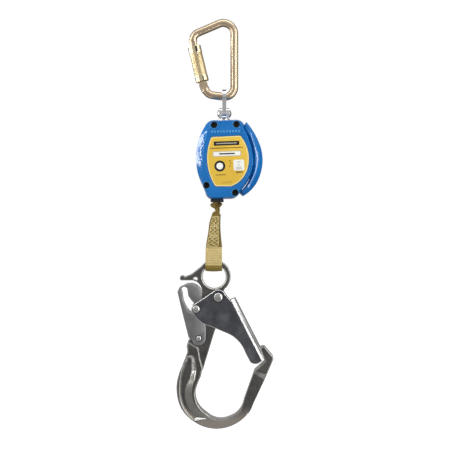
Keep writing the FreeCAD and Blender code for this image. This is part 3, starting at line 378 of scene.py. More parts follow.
def webbing(name, dark, light, sheen, ribs=False):
    """Woven band: UV u runs across the band and v along it, both in metres."""
    material = new_material(name, dark, 0.62)
    tree = material.node_tree
    over, down, _ = split_axes(tree, add_node(tree, "ShaderNodeUVMap", uv_map="weave").outputs[0])

    def wave(source, pitch, phase):
        turns = maths(tree, "MULTIPLY", source, 2 * math.pi / pitch)
        return maths(tree, "SINE", maths(tree, "ADD", turns, phase))

    slant = 0.0 if ribs else maths(tree, "MULTIPLY", over, math.pi / WEAVE_PITCH)
    weft = wave(down, RIB_PITCH if ribs else WEAVE_PITCH, slant)
    both = maths(tree, "ADD", weft, wave(over, WEAVE_PITCH, 0.0))
    height = maths(tree, "MULTIPLY_ADD", both, 0.25, 0.5)
    soil = ramp_between(tree, object_noise(tree, 70, 4.0), grey(0.78), grey(1.0))
    tint = mixed(tree, 1.0, ramp_between(tree, height, dark, light, 0.15, 0.85), soil, "MULTIPLY")
    dress(material, {"Sheen Weight": sheen, "Sheen Roughness": 0.4, "Base Color": tint,
                     "Normal": bumped(tree, height, 0.6, 0.0004)})
    return material


# name: dark, light, roughness, grain, bump, speck, then edge colour (partly wear, partly painted highlight)
# and stretch of the grain
METALS = {
    "zinc_steel": ((0.60, 0.46, 0.31), (0.76, 0.61, 0.43), 0.25, 1800, 0.05, 0.92),
    "sleeve_gold": ((0.62, 0.49, 0.27), (0.74, 0.60, 0.36), 0.42, 1400, 0.06, 0.92,
                    (0.95, 0.88, 0.68), (1, 1, 0.2)),
    "polished_steel": ((0.72, 0.73, 0.76), (0.86, 0.86, 0.88), 0.12, 900, 0.02, 0.95),
    "spring_steel": ((0.35, 0.35, 0.37), (0.50, 0.50, 0.52), 0.30, 1500, 0.10),
    "black_screw": ((0.012, 0.012, 0.013), (0.03, 0.03, 0.03), 0.36, 900, 0.10),
    "frame_steel": ((0.45, 0.45, 0.46), (0.60, 0.60, 0.61), 0.32, 1200, 0.10),
    "bronze": ((0.50, 0.31, 0.12), (0.66, 0.44, 0.20), 0.30, 1200, 0.10),
    "drum_aluminium": ((0.62, 0.62, 0.64), (0.75, 0.75, 0.77), 0.28, 1600, 0.08),
    "forged_aluminium": ((0.60, 0.59, 0.56), (0.78, 0.76, 0.73), 0.25, 900, 0.08, 0.9, (0.90, 0.89, 0.86)),
    "gate_steel": ((0.60, 0.60, 0.60), (0.78, 0.78, 0.77), 0.24, 1100, 0.06, 0.92, (0.92, 0.92, 0.92)),
    "lever_steel": ((0.29, 0.29, 0.295), (0.43, 0.43, 0.435), 0.36, 1300, 0.25, 0.86, (0.72, 0.72, 0.72)),
    "rivet_steel": ((0.56, 0.56, 0.54), (0.74, 0.74, 0.72), 0.13, 700, 0.03, 0.94),
    # Dark and less dark copies of the forged metal for the hook's flats and slopes: painted shade.
    "forged_flat_shade": ((0.135, 0.132, 0.126), (0.22, 0.213, 0.20), 0.34, 1300, 0.2, 0.6, (0.62, 0.61, 0.58)),
    "gate_black": ((0.115, 0.118, 0.135), (0.26, 0.265, 0.29), 0.36, 1500, 0.3, 0.4, (0.80, 0.81, 0.84)),
    "forged_slope_shade": ((0.30, 0.29, 0.27), (0.42, 0.41, 0.38), 0.36, 1100, 0.1, 0.85, (0.80, 0.79, 0.76)),
}
# name: dark, light, roughness, coat
PLASTICS = {
    "blue_plastic": ((0.0, 0.135, 0.44), (0.0, 0.160, 0.50), 0.16, 0.25),
    "blue_gloss": ((0.0, 0.145, 0.46), (0.0, 0.170, 0.52), 0.14, 1.0),
    # Lighter blue for the grip ribs and the rings round the screws: painted highlight.
    "highlight_blue": ((0.05, 0.30, 0.66), (0.07, 0.36, 0.72), 0.25, 0.3),
    "label_film": ((0.74, 0.47, 0.042), (0.80, 0.53, 0.06), 0.38, 0.1),
    "label_rim": ((0.83, 0.70, 0.28), (0.88, 0.77, 0.36), 0.38, 0.1),
}
# name: dark, light
RUBBERS = {
    "black_rubber": ((0.008, 0.008, 0.009), (0.02, 0.02, 0.02)),
    "brake_pad": ((0.10, 0.07, 0.05), (0.18, 0.13, 0.09)),
    "thread": ((0.70, 0.57, 0.24), (0.84, 0.72, 0.38)),
}
# name: dark, light, sheen, ribs
FABRICS = {
    "webbing": ((0.15, 0.095, 0.008), (0.37, 0.25, 0.032), 0.10),
    "webbing_shade": ((0.12, 0.075, 0.007), (0.30, 0.205, 0.035), 0.1),
    "sleeve_fabric": ((0.44, 0.32, 0.10), (0.82, 0.66, 0.29), 0.3, True),
    "wear_fabric": ((0.20, 0.135, 0.015), (0.36, 0.255, 0.04), 0.1, True),
}
PRINTS = {
    "print_black": (0.012, 0.012, 0.012),
    "print_silver": (0.42, 0.40, 0.33),
    "print_brown": (0.20, 0.12, 0.02),
    "print_grey": (0.45, 0.46, 0.44),
    "print_white": (0.85, 0.85, 0.80),
    "print_tan": (0.55, 0.35, 0.05),
}
# Colour of the lighter band painted on the hook's bowl: painted reflection.
BOWL_REFLECTION_COLOUR = (0.52, 0.47, 0.41)


def build_materials():
    bank = {}
    tables = ((metal, METALS), (moulded_plastic, PLASTICS), (rubber, RUBBERS), (webbing, FABRICS))
    for make, table in tables:
        for name, settings in table.items():
            bank[name] = make(name, *settings)
    for name, colour in PRINTS.items():
        lighter = tuple(min(1, 1.15 * value) for value in colour)
        bank[name] = moulded_plastic(name, colour, lighter, 0.36, 0.0)
    add_collars(bank["sleeve_gold"])
    # Lighter band on the hook's bowl: painted reflection of light from below.
    paint_bowl_reflection(bank["forged_flat_shade"], BOWL_REFLECTION_COLOUR, -0.535, -0.562)
    return bank


# ---- mesh helpers ----
def link(mesh, name, body, material, slot=None):
    piece = bpy.data.objects.new(name, mesh)
    bpy.context.collection.objects.link(piece)
    mesh.materials.clear()
    mesh.materials.append(MATERIALS[material])
    if body is not None:
        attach(piece, body)
    slot or material
    return piece


def mesh_from(bm, name, smooth_angle=35):
    bmesh.ops.recalc_face_normals(bm, faces=bm.faces)
    mesh = bpy.data.meshes.new(name)
    bm.to_mesh(mesh)
    bm.free()
    mesh.polygons.foreach_set("use_smooth", [True] * len(mesh.polygons))
    mesh.set_sharp_from_angle(angle=math.radians(smooth_angle))
    return mesh


def add_piece(bm, name, body, material, slot=None, smooth_angle=35):
    return link(mesh_from(bm, name, smooth_angle), name, body, material, slot)


def skin(bm, rings, closed=False, caps=True):
    """Quads from ring to ring of vertices, then a cap on each end, or back to the first ring."""
    for first, second in zip(rings, rings[1:] + rings[:1] if closed else rings[1:]):
        for step in range(len(first)):
            following = (step + 1) % len(first)
            bm.faces.new((first[step], first[following], second[following], second[step]))
    if caps and not closed:
        bm.faces.new(rings[0][::-1])
        bm.faces.new(rings[-1])


def circle_angles(steps):
    return [2 * math.pi * step / steps for step in range(steps)]


def record_slots():
    """Material slot of each CAD node, from the record."""
    return {entry["node"]: entry["material_slot"] for entry in frame["record"]["subparts"]}


def paint_cad():
    for node, piece in NODES.items():
        piece.data.materials.clear()
        piece.data.materials.append(MATERIALS[SLOTS[node]])
        piece.data.polygons.foreach_set("material_index", [0] * len(piece.data.polygons))


MATERIALS = build_materials()
SLOTS = record_slots()


# ---- worn copies of the CAD metalwork and mouldings ----
class Rim:
    """Boundary of a flat face at a depth, with how far each of its corners moves when it is rounded."""

    def __init__(self, bm, depth, width, flat=28):
        side = -1 if depth < 0 else 1
        self.side, self.width = side, width
        self.faces = [face for face in bm.faces if abs(abs(face.normal.y) - 1) < 1e-3
                      and all(abs(v.co.y - depth * MM) < 2e-5 for v in face.verts)]
        chosen = set(self.faces)
        self.edges = []
        around = {}
        for face in self.faces:
            for edge in face.edges:
                others = [other for other in edge.link_faces if other not in chosen]
                if len(others) != 1 or len(edge.link_faces) != 2:
                    continue
                first, second = edge.verts
                along = (second.co - first.co).normalized()
                inward = along.cross(Vector((0, 1, 0)))
                if inward.dot(face.calc_center_median() - first.co) < 0:
                    inward = -inward
                turn = others[0].normal.angle(face.normal, 0)
                rises = others[0].normal.dot(inward) > 0.05
                share = 0.0 if turn < math.radians(flat) or rises else 1.0
                self.edges.append(edge)
                for vertex in edge.verts:
                    around.setdefault(vertex, []).append((inward, share))
        self.moves = {}
        for vertex, sides in around.items():
            if len(sides) != 2:
                self.moves[vertex] = (Vector((0, 0, 0)), 0.0)
                continue
            (n1, w1), (n2, w2) = sides
            w1, w2 = w1 * width * MM, w2 * width * MM
            cosine = n1.dot(n2)
            if cosine > 0.995:
                offset = (n1 + n2).normalized() * (w1 + w2) / 2
            elif cosine < -0.8:
                offset = Vector((0, 0, 0))
            else:
                scale = 1 - cosine * cosine
                offset = n1 * ((w1 - w2 * cosine) / scale) + n2 * ((w2 - w1 * cosine) / scale)
            if offset.length > 2.5 * width * MM:
                offset = offset.normalized() * 2.5 * width * MM
            self.moves[vertex] = (offset, min(w1, w2))


def round_rim(bm, depth, width, segments=2):
    """Rounds the outer edges of the flat faces at plus and minus a depth in mm."""
    for side in (-1, 1):
        bm.normal_update()
        rim = Rim(bm, side * depth, width)
        if not rim.faces:
            continue
        edges = list(rim.edges)
        plane = side * depth * MM
        bmesh.ops.delete(bm, geom=rim.faces, context="FACES_ONLY")
        rings = {}
        for vertex, (offset, drop) in rim.moves.items():
            base = vertex.co.copy()
            chain = [vertex]
            for step in range(1, segments + 1):
                angle = math.pi / 2 * step / segments
                place = base + offset * (1 - math.cos(angle))
                place.y = plane - side * drop * (1 - math.sin(angle))
                chain.append(bm.verts.new(place))
            vertex.co.y = plane - side * drop
            rings[vertex] = chain
        inner = []
        for edge in edges:
            first, second = edge.verts
            for step in range(segments):
                low, high = rings[first], rings[second]
                bm.faces.new((low[step], high[step], high[step + 1], low[step + 1]))
            inner.append(bm.edges.get((rings[first][-1], rings[second][-1])))
        filled = bmesh.ops.triangle_fill(bm, edges=inner, use_beauty=True)
        for item in filled["geom"]:
            if isinstance(item, bmesh.types.BMFace) and item.normal.y * side < 0:
                item.normal_flip()


def cad_bmesh(node):
    """The CAD node's mesh, welded."""
    bm = bmesh.new()
    bm.from_mesh(NODES[node].data)
    bmesh.ops.remove_doubles(bm, verts=bm.verts, dist=2e-6)
    bm.normal_update()
    return bm


def refined(node, rims, smooth_angle=35, paint=None):
    """Copy of a CAD node with rounded edges on its flat faces, which then stands for it.

    rims is a list of (depth, width, segments), in mm. paint gives further materials and a function
    that picks one, from 1, or the node's own, 0, from a face's normal."""
    bm = cad_bmesh(node)
    for depth, width, segments in rims:
        round_rim(bm, depth, width, segments)
    mesh = mesh_from(bm, node + "_worn", smooth_angle)
    piece = link(mesh, node + "_worn", NODES[node]["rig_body"], SLOTS[node])
    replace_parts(piece, node)
    if paint is not None:
        materials, pick = paint
        for material in materials:
            mesh.materials.append(MATERIALS[material])
        for polygon in mesh.polygons:
            polygon.material_index = pick(polygon.normal)
        sides = {}
        for polygon in mesh.polygons:
            for key in polygon.edge_keys:
                sides.setdefault(key, set()).add(polygon.material_index)
        for edge in mesh.edges:
            if len(sides.get(edge.key, ())) > 1:
                edge.use_edge_sharp = True
    return piece


def shade_by_facing(normal):
    """Painted shade by facing: 1, a dark copy of the metal, for a flat front or back face, 2, a less dark
    copy, for a broad slope beside it, 0, the node's own bright metal, for walls and rims.
    """
    facing = abs(normal.y)
    return 1 if facing > 0.995 else 2 if 0.86 < facing < 0.97 else 0


def flat_or_edge(normal):
    return int(abs(normal.y) > 0.995)


def dome(bm, centre, radius, height, base, side, rings=5, steps=28):
    """Rivet head: a groove round a rounded cap, on the front (-1) or rear (1)."""
    x, z = centre
    profile = [(radius + 1.0, 0.0), (radius + 0.9, 0.2), (radius + 0.1, 0.22), (radius, 0.12)]
    for ring in range(rings + 1):
        angle = math.pi / 2 * ring / rings
        profile.append((radius * math.cos(angle), 0.35 + height * math.sin(angle)))
    rings = []
    for out, up in profile[:-1]:
        rings.append([bm.verts.new(Vector((x + out * math.cos(turn), side * (base + up),
                                           z + out * math.sin(turn))) * MM)
                      for turn in circle_angles(steps)])
    skin(bm, rings, caps=False)
    top = bm.verts.new(Vector((x, side * (base + profile[-1][1]), z)) * MM)
    for step in range(steps):
        bm.faces.new((rings[-1][step], rings[-1][(step + 1) % steps], top))


def build_rivets():
    """Domed rivet heads with a groove round them, painted black as painted shade; the shanks stay as the CAD
    has them.
    """
    for node, radius, height in (("gate_pivot_rivet", 6.4, 1.9), ("gate_link_rivet", 5.2, 1.55),
                                 ("lever_rivet", 3.75, 1.1)):
        low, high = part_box(node)
        centre = ((low[0] + high[0]) / 2 / MM, (low[2] + high[2]) / 2 / MM)
        base = high[1] / MM - height - 0.4
        bm = bmesh.new()
        for side in (-1, 1):
            dome(bm, centre, radius, height, base, side)
        mesh = mesh_from(bm, node + "_heads", 40)
        link(mesh, node + "_heads", NODES[node]["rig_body"], "rivet_steel")
        mesh.materials.append(MATERIALS["black_screw"])
        for polygon in mesh.polygons:
            x, z = polygon.center.x / MM - centre[0], polygon.center.z / MM - centre[1]
            # The groove round each head is painted black: painted shade.
            polygon.material_index = int(math.hypot(x, z) > radius)


def build_metalwork():
    # The hook's flats and slopes get dark copies of its metal as painted shade; its walls and rims keep the
    # bright one.
    refined("hook_frame", [(8.0, 1.8, 2), (4.0, 1.2, 2)], 30, (["forged_flat_shade", "forged_slope_shade"], shade_by_facing))
    refined("hook_gate", [(8.7, 0.8, 2)], 35, (["gate_black"], flat_or_edge))
    refined("lock_lever", [(6.3, 0.8, 2)])
    build_rivets()


def build_covers():
    refined("front_cover", [(29.5, 0.8, 3)], 19)
    refined("rear_cover", [(29.5, 0.8, 3)], 19)
    refined("label_plate", [(29.4, 0.25, 2)])
    refined("cover_screws", [(29.2, 0.6, 2)])


# ---- swept wire: springs and threads ----
def tube_bmesh(bm, points, radius, sides=8, closed=False):
    """Round bar through points, added to a bmesh."""
    count = len(points)
    side = None
    rings = []
    for index, point in enumerate(points):
        before = points[index - 1] if closed or index > 0 else point
        after = points[(index + 1) % count] if closed or index < count - 1 else point
        along = (after - before).normalized()
        if side is None:
            side = along.orthogonal().normalized()
        side = (side - along * side.dot(along)).normalized()
        up = along.cross(side)
        rings.append([bm.verts.new(point + (side * math.cos(angle) + up * math.sin(angle)) * radius)
                      for angle in circle_angles(sides)])
    skin(bm, rings, closed)


def helix(start, end, radius, turns, steps_per_turn=20):
    along = (end - start).normalized()
    side = along.orthogonal().normalized()
    up = along.cross(side)
    points = []
    count = int(turns * steps_per_turn)
    for step in range(count + 1):
        share = step / count
        angle = 2 * math.pi * turns * share
        spoke = side * math.cos(angle) + up * math.sin(angle)
        points.append(start.lerp(end, share) + spoke * radius)
    return points


def centre_of(node):
    low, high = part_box(node)
    return (low + high) / 2


def wire_piece(name, node, runs, wire, closed=False):
    """Springs of bent wire that stand for a CAD node."""
    bm = bmesh.new()
    for run in runs:
        tube_bmesh(bm, run, wire, closed=closed)
    piece = add_piece(bm, name, NODES[node]["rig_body"], SLOTS[node], smooth_angle=60)
    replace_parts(piece, node)


def flat_coil(centre, radius, low_y, high_y, turns):
    """Helix about a Y axis."""
    return helix(Vector((centre.x, low_y, centre.z)), Vector((centre.x, high_y, centre.z)), radius, turns)


def build_springs():
    hinge = centre_of("gate_hinge_pin")
    latch = centre_of("gate_latch_pin")
    up = (latch - hinge).normalized()
    wire = 0.5 * MM
    start = hinge + up * 14.8 * MM
    end = hinge + up * 37.2 * MM
    wire_piece("sleeve_coil_spring", "sleeve_spring", [helix(start, end, 5.85 * MM, 8)], wire)
    coil = flat_coil(hinge, 3.2 * MM, -0.9 * MM, 0.9 * MM, 2)
    leg = [coil[-1], hinge + up * 3.6 * MM, hinge + up * 11.0 * MM]
    wire_piece("gate_torsion_spring", "gate_spring", [coil + leg[1:]], 0.4 * MM)
    lever_coil = flat_coil(centre_of("lever_rivet"), 3.6 * MM, -1.0 * MM, 1.0 * MM, 2)
    wire_piece("lever_torsion_spring", "lever_spring", [lever_coil], 0.4 * MM)
    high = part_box("gate_return_springs")[1]
    middle = centre_of("gate_return_springs")
    runs = []
    for side in (-1, 1):
        y = side * (high.y - 0.17 * MM)
        for radius in (4.6, 5.6, 6.6, 7.6):
            runs.append(flat_coil(middle, radius * MM, y, y + 0.001 * MM, 1)[:-1])
    wire_piece("gate_return_coils", "gate_return_springs", runs, 0.14 * MM, closed=True)
    low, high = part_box("pawl_springs")
    runs = [flat_coil(pivot_of(pawl), 2.6 * MM, low.y + 0.4 * MM, high.y - 0.4 * MM, 2)
            for pawl in ("pawl_a", "pawl_b")]
    wire_piece("pawl_coil_springs", "pawl_springs", runs, 0.35 * MM)


def pivot_of(body):
    """Place of the joint that carries a body."""
    for joint in frame["joints"]:
        if joint["child"] == body:
            return Vector(joint["pos_m"])


def build_wound_web():
    """Webbing wound on the hub: one long band in a spiral."""
    low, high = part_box("web_pack")
    centre = (low + high) / 2
    outer = (high.x - low.x) / 2
    half = (high.y - low.y) / 2
    arbor_low, arbor_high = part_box("spring_arbor")
    inner = (arbor_high.x - arbor_low.x) / 2 + 6.2 * MM
    pitch, thickness = 1.55 * MM, 1.35 * MM
    steps_per_turn = 48
    steps = int((outer - inner - pitch) / pitch * steps_per_turn)
    bm = bmesh.new()
    rows = []
    for step in range(steps + 1):
        angle = 2 * math.pi * step / steps_per_turn
        radius = inner + pitch * step / steps_per_turn
        spoke = Vector((math.cos(angle), 0, math.sin(angle)))
        rows.append([bm.verts.new(centre + spoke * (radius + reach) + Vector((0, y, 0)))
                     for reach, y in ((0, -half), (0, half), (thickness, half), (thickness, -half))])
    skin(bm, rows)
    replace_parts(add_piece(bm, "wound_webbing", "drum", "webbing", smooth_angle=35), "web_pack")


# ---- housing details ----
COVER_FACE = -29.5


def flat_piece(name, outline, y_back, y_front, body, material, slot, hole=None, bevel=0.0):
    """Plate from an XZ outline in mm, facing the front."""
    bm = bmesh.new()
    edges = []
    for loop in [outline] + ([hole] if hole else []):
        corners = [bm.verts.new((x * MM, y_front * MM, z * MM)) for x, z in loop]
        edges += [bm.edges.new(pair) for pair in zip(corners, corners[1:] + corners[:1])]
    bmesh.ops.triangle_fill(bm, edges=edges, use_beauty=True)
    bmesh.ops.dissolve_limit(bm, angle_limit=0.01, verts=bm.verts, edges=bm.edges)
    made = bmesh.ops.extrude_face_region(bm, geom=bm.faces[:])
    for item in made["geom"]:
        if isinstance(item, bmesh.types.BMVert):
            item.co.y = y_back * MM
    bmesh.ops.recalc_face_normals(bm, faces=bm.faces)
    if bevel:
        front_edges = [edge for edge in bm.edges if edge.calc_face_angle(0) >= math.radians(28)
                       and all(abs(v.co.y / MM - y_front) < 0.06 for v in edge.verts)]
        bmesh.ops.bevel(bm, geom=front_edges, offset=bevel * MM, segments=2,
                        affect="EDGES", profile=0.5, clamp_overlap=False)
    return add_piece(bm, name, body, material, slot)


def rounded_box(x0, z0, x1, z1, radius, steps=4):
    points = []
    for cx, cz, start in ((x1 - radius, z1 - radius, 0), (x0 + radius, z1 - radius, 90),
                          (x0 + radius, z0 + radius, 180), (x1 - radius, z0 + radius, 270)):
        for step in range(steps + 1):
            angle = math.radians(start + 90 * step / steps)
            points.append((cx + radius * math.cos(angle), cz + radius * math.sin(angle)))
    return points


def polygon(x, z, radius, sides):
    return [(x + radius * math.cos(angle), z + radius * math.sin(angle)) for angle in circle_angles(sides)]


def tilted(points, degrees, centre):
    turn = math.radians(degrees)
    moved = []
    for x, z in points:
        dx, dz = x - centre[0], z - centre[1]
        moved.append((centre[0] + dx * math.cos(turn) - dz * math.sin(turn),
                      centre[1] + dx * math.sin(turn) + dz * math.cos(turn)))
    return moved


def build_label():
    """Plain printed marks, with no lettering, on the label plate."""
    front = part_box("label_plate")[0].y / MM
    centre = (4.3, -190)

    def printed(name, outline, material, layer=1):
        flat_piece("label_" + name, tilted(outline, 2.0, centre), front + 0.02, front - 0.05 * layer,
                   "housing", material, "label_film")

    printed("title_bar", rounded_box(-13.8, -171.2, 21.4, -165.3, 1.2), "print_black")
    printed("title_stripe", rounded_box(-10.4, -168.9, 18.0, -167.6, 0.6), "print_silver", 2)
    printed("rule", rounded_box(-19.2, -175.2, 26.0, -173.9, 0.3), "print_brown")
    printed("band", rounded_box(-15.4, -186.1, 23.2, -179.1, 0.8), "print_grey")
    printed("band_field", rounded_box(-14.6, -185.3, 22.4, -179.9, 0.5), "print_white", 2)
    printed("band_bar", rounded_box(-7.0, -183.5, 14.8, -181.7, 0.6), "print_black", 3)
    printed("disc", polygon(-6.5, -199.3, 7.6, 40), "print_black")
    printed("disc_face", polygon(-6.5, -199.3, 4.6, 32), "print_white", 2)
    for index, (x, z) in enumerate(((6.6, -193.4), (7.8, -196.4), (6.4, -200.6))):
        printed("dot_%d" % index, rounded_box(x, z, x + 1.9, z + 1.6, 0.4), "print_brown")
    printed("panel", rounded_box(12.4, -206.2, 27.2, -191.4, 2.2), "print_white")
    for index, (z, half) in enumerate(((-194.6, 2.6), (-198.4, 1.2), (-201.8, 3.6), (-204.0, 4.4))):
        bar = rounded_box(19.8 - half, z - 0.6, 19.8 + half, z + 0.6, 0.4)
        printed("panel_bar_%d" % index, bar, "print_grey", 2)
    printed("footnote_right", rounded_box(15.3, -209.6, 25.2, -207.6, 0.5), "print_brown")
    printed("footnote_left", rounded_box(-12.8, -212.0, 1.5, -210.8, 0.5), "print_brown")
    printed("footnote_low", rounded_box(-4.6, -223.4, 9.6, -220.9, 0.6), "print_tan")


def inner_outline(node, y_depth, inset):
    """Outline of a plate's face, moved inward, in mm."""
    bm = cad_bmesh(node)
    bmesh.ops.dissolve_limit(bm, angle_limit=math.radians(0.6), verts=bm.verts, edges=bm.edges)
    face = max((f for f in bm.faces if abs(f.calc_center_median().y / MM - y_depth) < 0.05),
               key=lambda f: f.calc_area())
    points = [(v.co.x / MM, v.co.z / MM) for v in face.verts]
    bm.free()
    return points, offset_loop(points, inset)


def offset_loop(points, inset):
    area = sum(a[0] * b[1] - b[0] * a[1] for a, b in zip(points, points[1:] + points[:1]))
    sign = 1 if area > 0 else -1
    moved = []
    count = len(points)
    for index, (x, z) in enumerate(points):
        px, pz = points[index - 1]
        nx, nz = points[(index + 1) % count]
        first = Vector((x - px, z - pz)).normalized()
        second = Vector((nx - x, nz - z)).normalized()
        normal = Vector((-(first.y + second.y), first.x + second.x)).normalized() * sign
        share = max(normal.dot(Vector((-first.y, first.x)) * sign), 0.5)
        moved.append((x + normal.x * inset / share, z + normal.y * inset / share))
    return moved


def build_label_rim():
    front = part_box("label_plate")[0].y / MM
    outer, inner = inner_outline("label_plate", front, 1.6)
    outer = offset_loop(outer, 0.3)
    flat_piece("label_border", outer, front + 0.02, front - 0.04, "housing", "label_rim", "label_film", inner)


def bead(name, points, radius, flatten=0.45):
    """Raised rib on the front of the cover, through XZ points in mm, tapering at its ends."""
    path = smooth_path([Vector((x, COVER_FACE, z)) for x, z in points], 10)
    sunk = Vector((0, 0.4, 0))
    bm = bmesh.new()
    rings = []
    last = len(path) - 1
    for index, point in enumerate(path):
        along = (path[min(index + 1, last)] - path[max(index - 1, 0)]).normalized()
        side = along.cross(Vector((0, 1, 0))).normalized()
        share = index / last
        size = radius * min(1.0, 0.15 + 6 * min(share, 1 - share))
        offsets = []
        for step in range(9):
            angle = math.pi * step / 8
            offsets.append(side * math.cos(angle) * size + Vector((0, -math.sin(angle) * size * flatten, 0)))
        offsets += [sunk - side * size, sunk + side * size]
        rings.append([bm.verts.new((point + offset) * MM) for offset in offsets])
    skin(bm, rings)
    add_piece(bm, name, "housing", "blue_plastic", smooth_angle=50)


def smooth_path(points, steps):
    """Catmull-Rom points through given points."""
    result = []
    for index in range(len(points) - 1):
        p0 = points[max(index - 1, 0)]
        p1, p2 = points[index], points[index + 1]
        p3 = points[min(index + 2, len(points) - 1)]
        for step in range(steps):
            t = step / steps
            result.append(0.5 * ((2 * p1) + (p2 - p0) * t + (2 * p0 - 5 * p1 + 4 * p2 - p3) * t * t
                                 + (3 * p1 - p0 - 3 * p2 + p3) * t ** 3))
    result.append(points[-1])
    return result


def lobe_slope(inner, outer, base=-24.4, rise=1.6):
    """Crest along the side lobe: highest beside its inner edge, sloping down to its outer edge."""
    crest = ((0.03, 0.0), (0.07, 0.8), (0.14, 1.0), (0.20, 0.98), (0.92, 0.08), (0.97, 0.0))
    rails = [smooth_path([Vector((x, 0, z)) for x, z in rail], 8) for rail in (inner, outer)]
    bm = bmesh.new()
    rings = []
    last = len(rails[0]) - 1
    for index, (left, right) in enumerate(zip(*rails)):
        fade = min(1.0, 0.1 + 5 * min(index, last - index) / last)
        section = [(share, -height * rise * fade) for share, height in crest] + [(0.97, 0.4), (0.03, 0.4)]
        ring = []
        for share, drop in section:
            point = left.lerp(right, share)
            point.y = base + drop
            ring.append(bm.verts.new(point * MM))
        rings.append(ring)
    skin(bm, rings)
    add_piece(bm, "lobe_crest", "housing", "blue_gloss", "blue_plastic", 30)


def gate_point(across, up):
    """Point in mm, seen from the front, measured across and up the closed gate from its hinge."""
    spot = GATE_HINGE / MM + Vector((GATE_UP.z, 0, -GATE_UP.x)) * across + GATE_UP * up
    return spot.x, spot.z


def build_sleeve_slot_shadows():
    """Black plates behind the short slots in front of the lock sleeve: painted shadow for the shade inside
    them.
    """
    for name, left, right, low, high, turn, back, front in (
        ("top", 0.7, 3.3, 47.2, 55.8, 0, -6.7, -7.9),
        ("slant", 0.65, 1.55, 40.2, 47.6, 10, -6.7, -7.9),
        ("foot", 1.3, 2.9, 6.1, 12.2, 0, -7.8, -8.2),
    ):
        outline = [gate_point(*corner) for corner in ((left, low), (right, low), (right, high), (left, high))]
        flat_piece("sleeve_slot_shadow_" + name, tilted(outline, turn, gate_point(1.1, 48.0)), back, front,
                   "lock_sleeve", "black_rubber", "black_rubber")


def build_cover_details():
    bead("face_rib_left", [(-25.4, -192.0), (-25.6, -200.0), (-22.6, -213.0), (-16.6, -227.5)], 0.9)
    right = [(38.6, -186.0), (38.3, -197.0), (33.6, -211.5), (25.5, -223.6), (19.6, -229.6)]
    bead("face_rib_right", right, 1.0)
    lobe_slope([(30.2, -147.6), (35.0, -157.1), (39.1, -166.8), (41.5, -177.2), (41.9, -187.8),
                (42.1, -198.4),
                (40.5, -208.9), (36.7, -218.9), (31.0, -227.8), (27.6, -231.8)],
               [(31.2, -145.6), (38.1, -154.4), (42.7, -164.0), (46.2, -174.0), (48.3, -184.4),
                (48.4, -195.0),
                (46.7, -205.5), (43.1, -215.5), (37.8, -224.7), (30.8, -232.7)])
    # Pale rings round the screws: painted highlight on the edges of their counterbores.
    for index, (x, z) in enumerate(((-14.1, -142.9), (16.7, -142.2), (-24.6, -226.1), (15.2, -236.3))):
        bm = bmesh.new()
        circle = [Vector((px, COVER_FACE + 0.05, pz)) * MM for px, pz in polygon(x, z, 5.1, 32)]
        tube_bmesh(bm, circle, 0.32 * MM, closed=True)
        add_piece(bm, "screw_rim_highlight_%d" % index, "housing", "highlight_blue", "blue_plastic", 60)
    # Raised grip ribs, in a lighter blue as painted highlight.
    for index in range(10):
        x = -18.4 + 4.15 * index
        z = -152.6 + 0.11 * index
        flat_piece("grip_rib_%d" % index, rounded_box(x, z - 1.6, x + 2.6, z + 1.6, 0.7), -29.3, -29.95,
                   "housing", "highlight_blue", "blue_plastic", bevel=0.25)


# ---- webbing ----
def spread(stations, steps):
    """Smoothly interpolated stations; each is a tuple of numbers."""
    return [tuple(values) for values in smooth_path([Row(station) for station in stations], steps)]


class Row(tuple):
    """Tuple of numbers that adds and scales."""
    def __add__(self, other):
        return Row(a + b for a, b in zip(self, other))

    def __sub__(self, other):
        return Row(a - b for a, b in zip(self, other))

    def __mul__(self, factor):
        return Row(a * factor for a in self)

    __rmul__ = __mul__


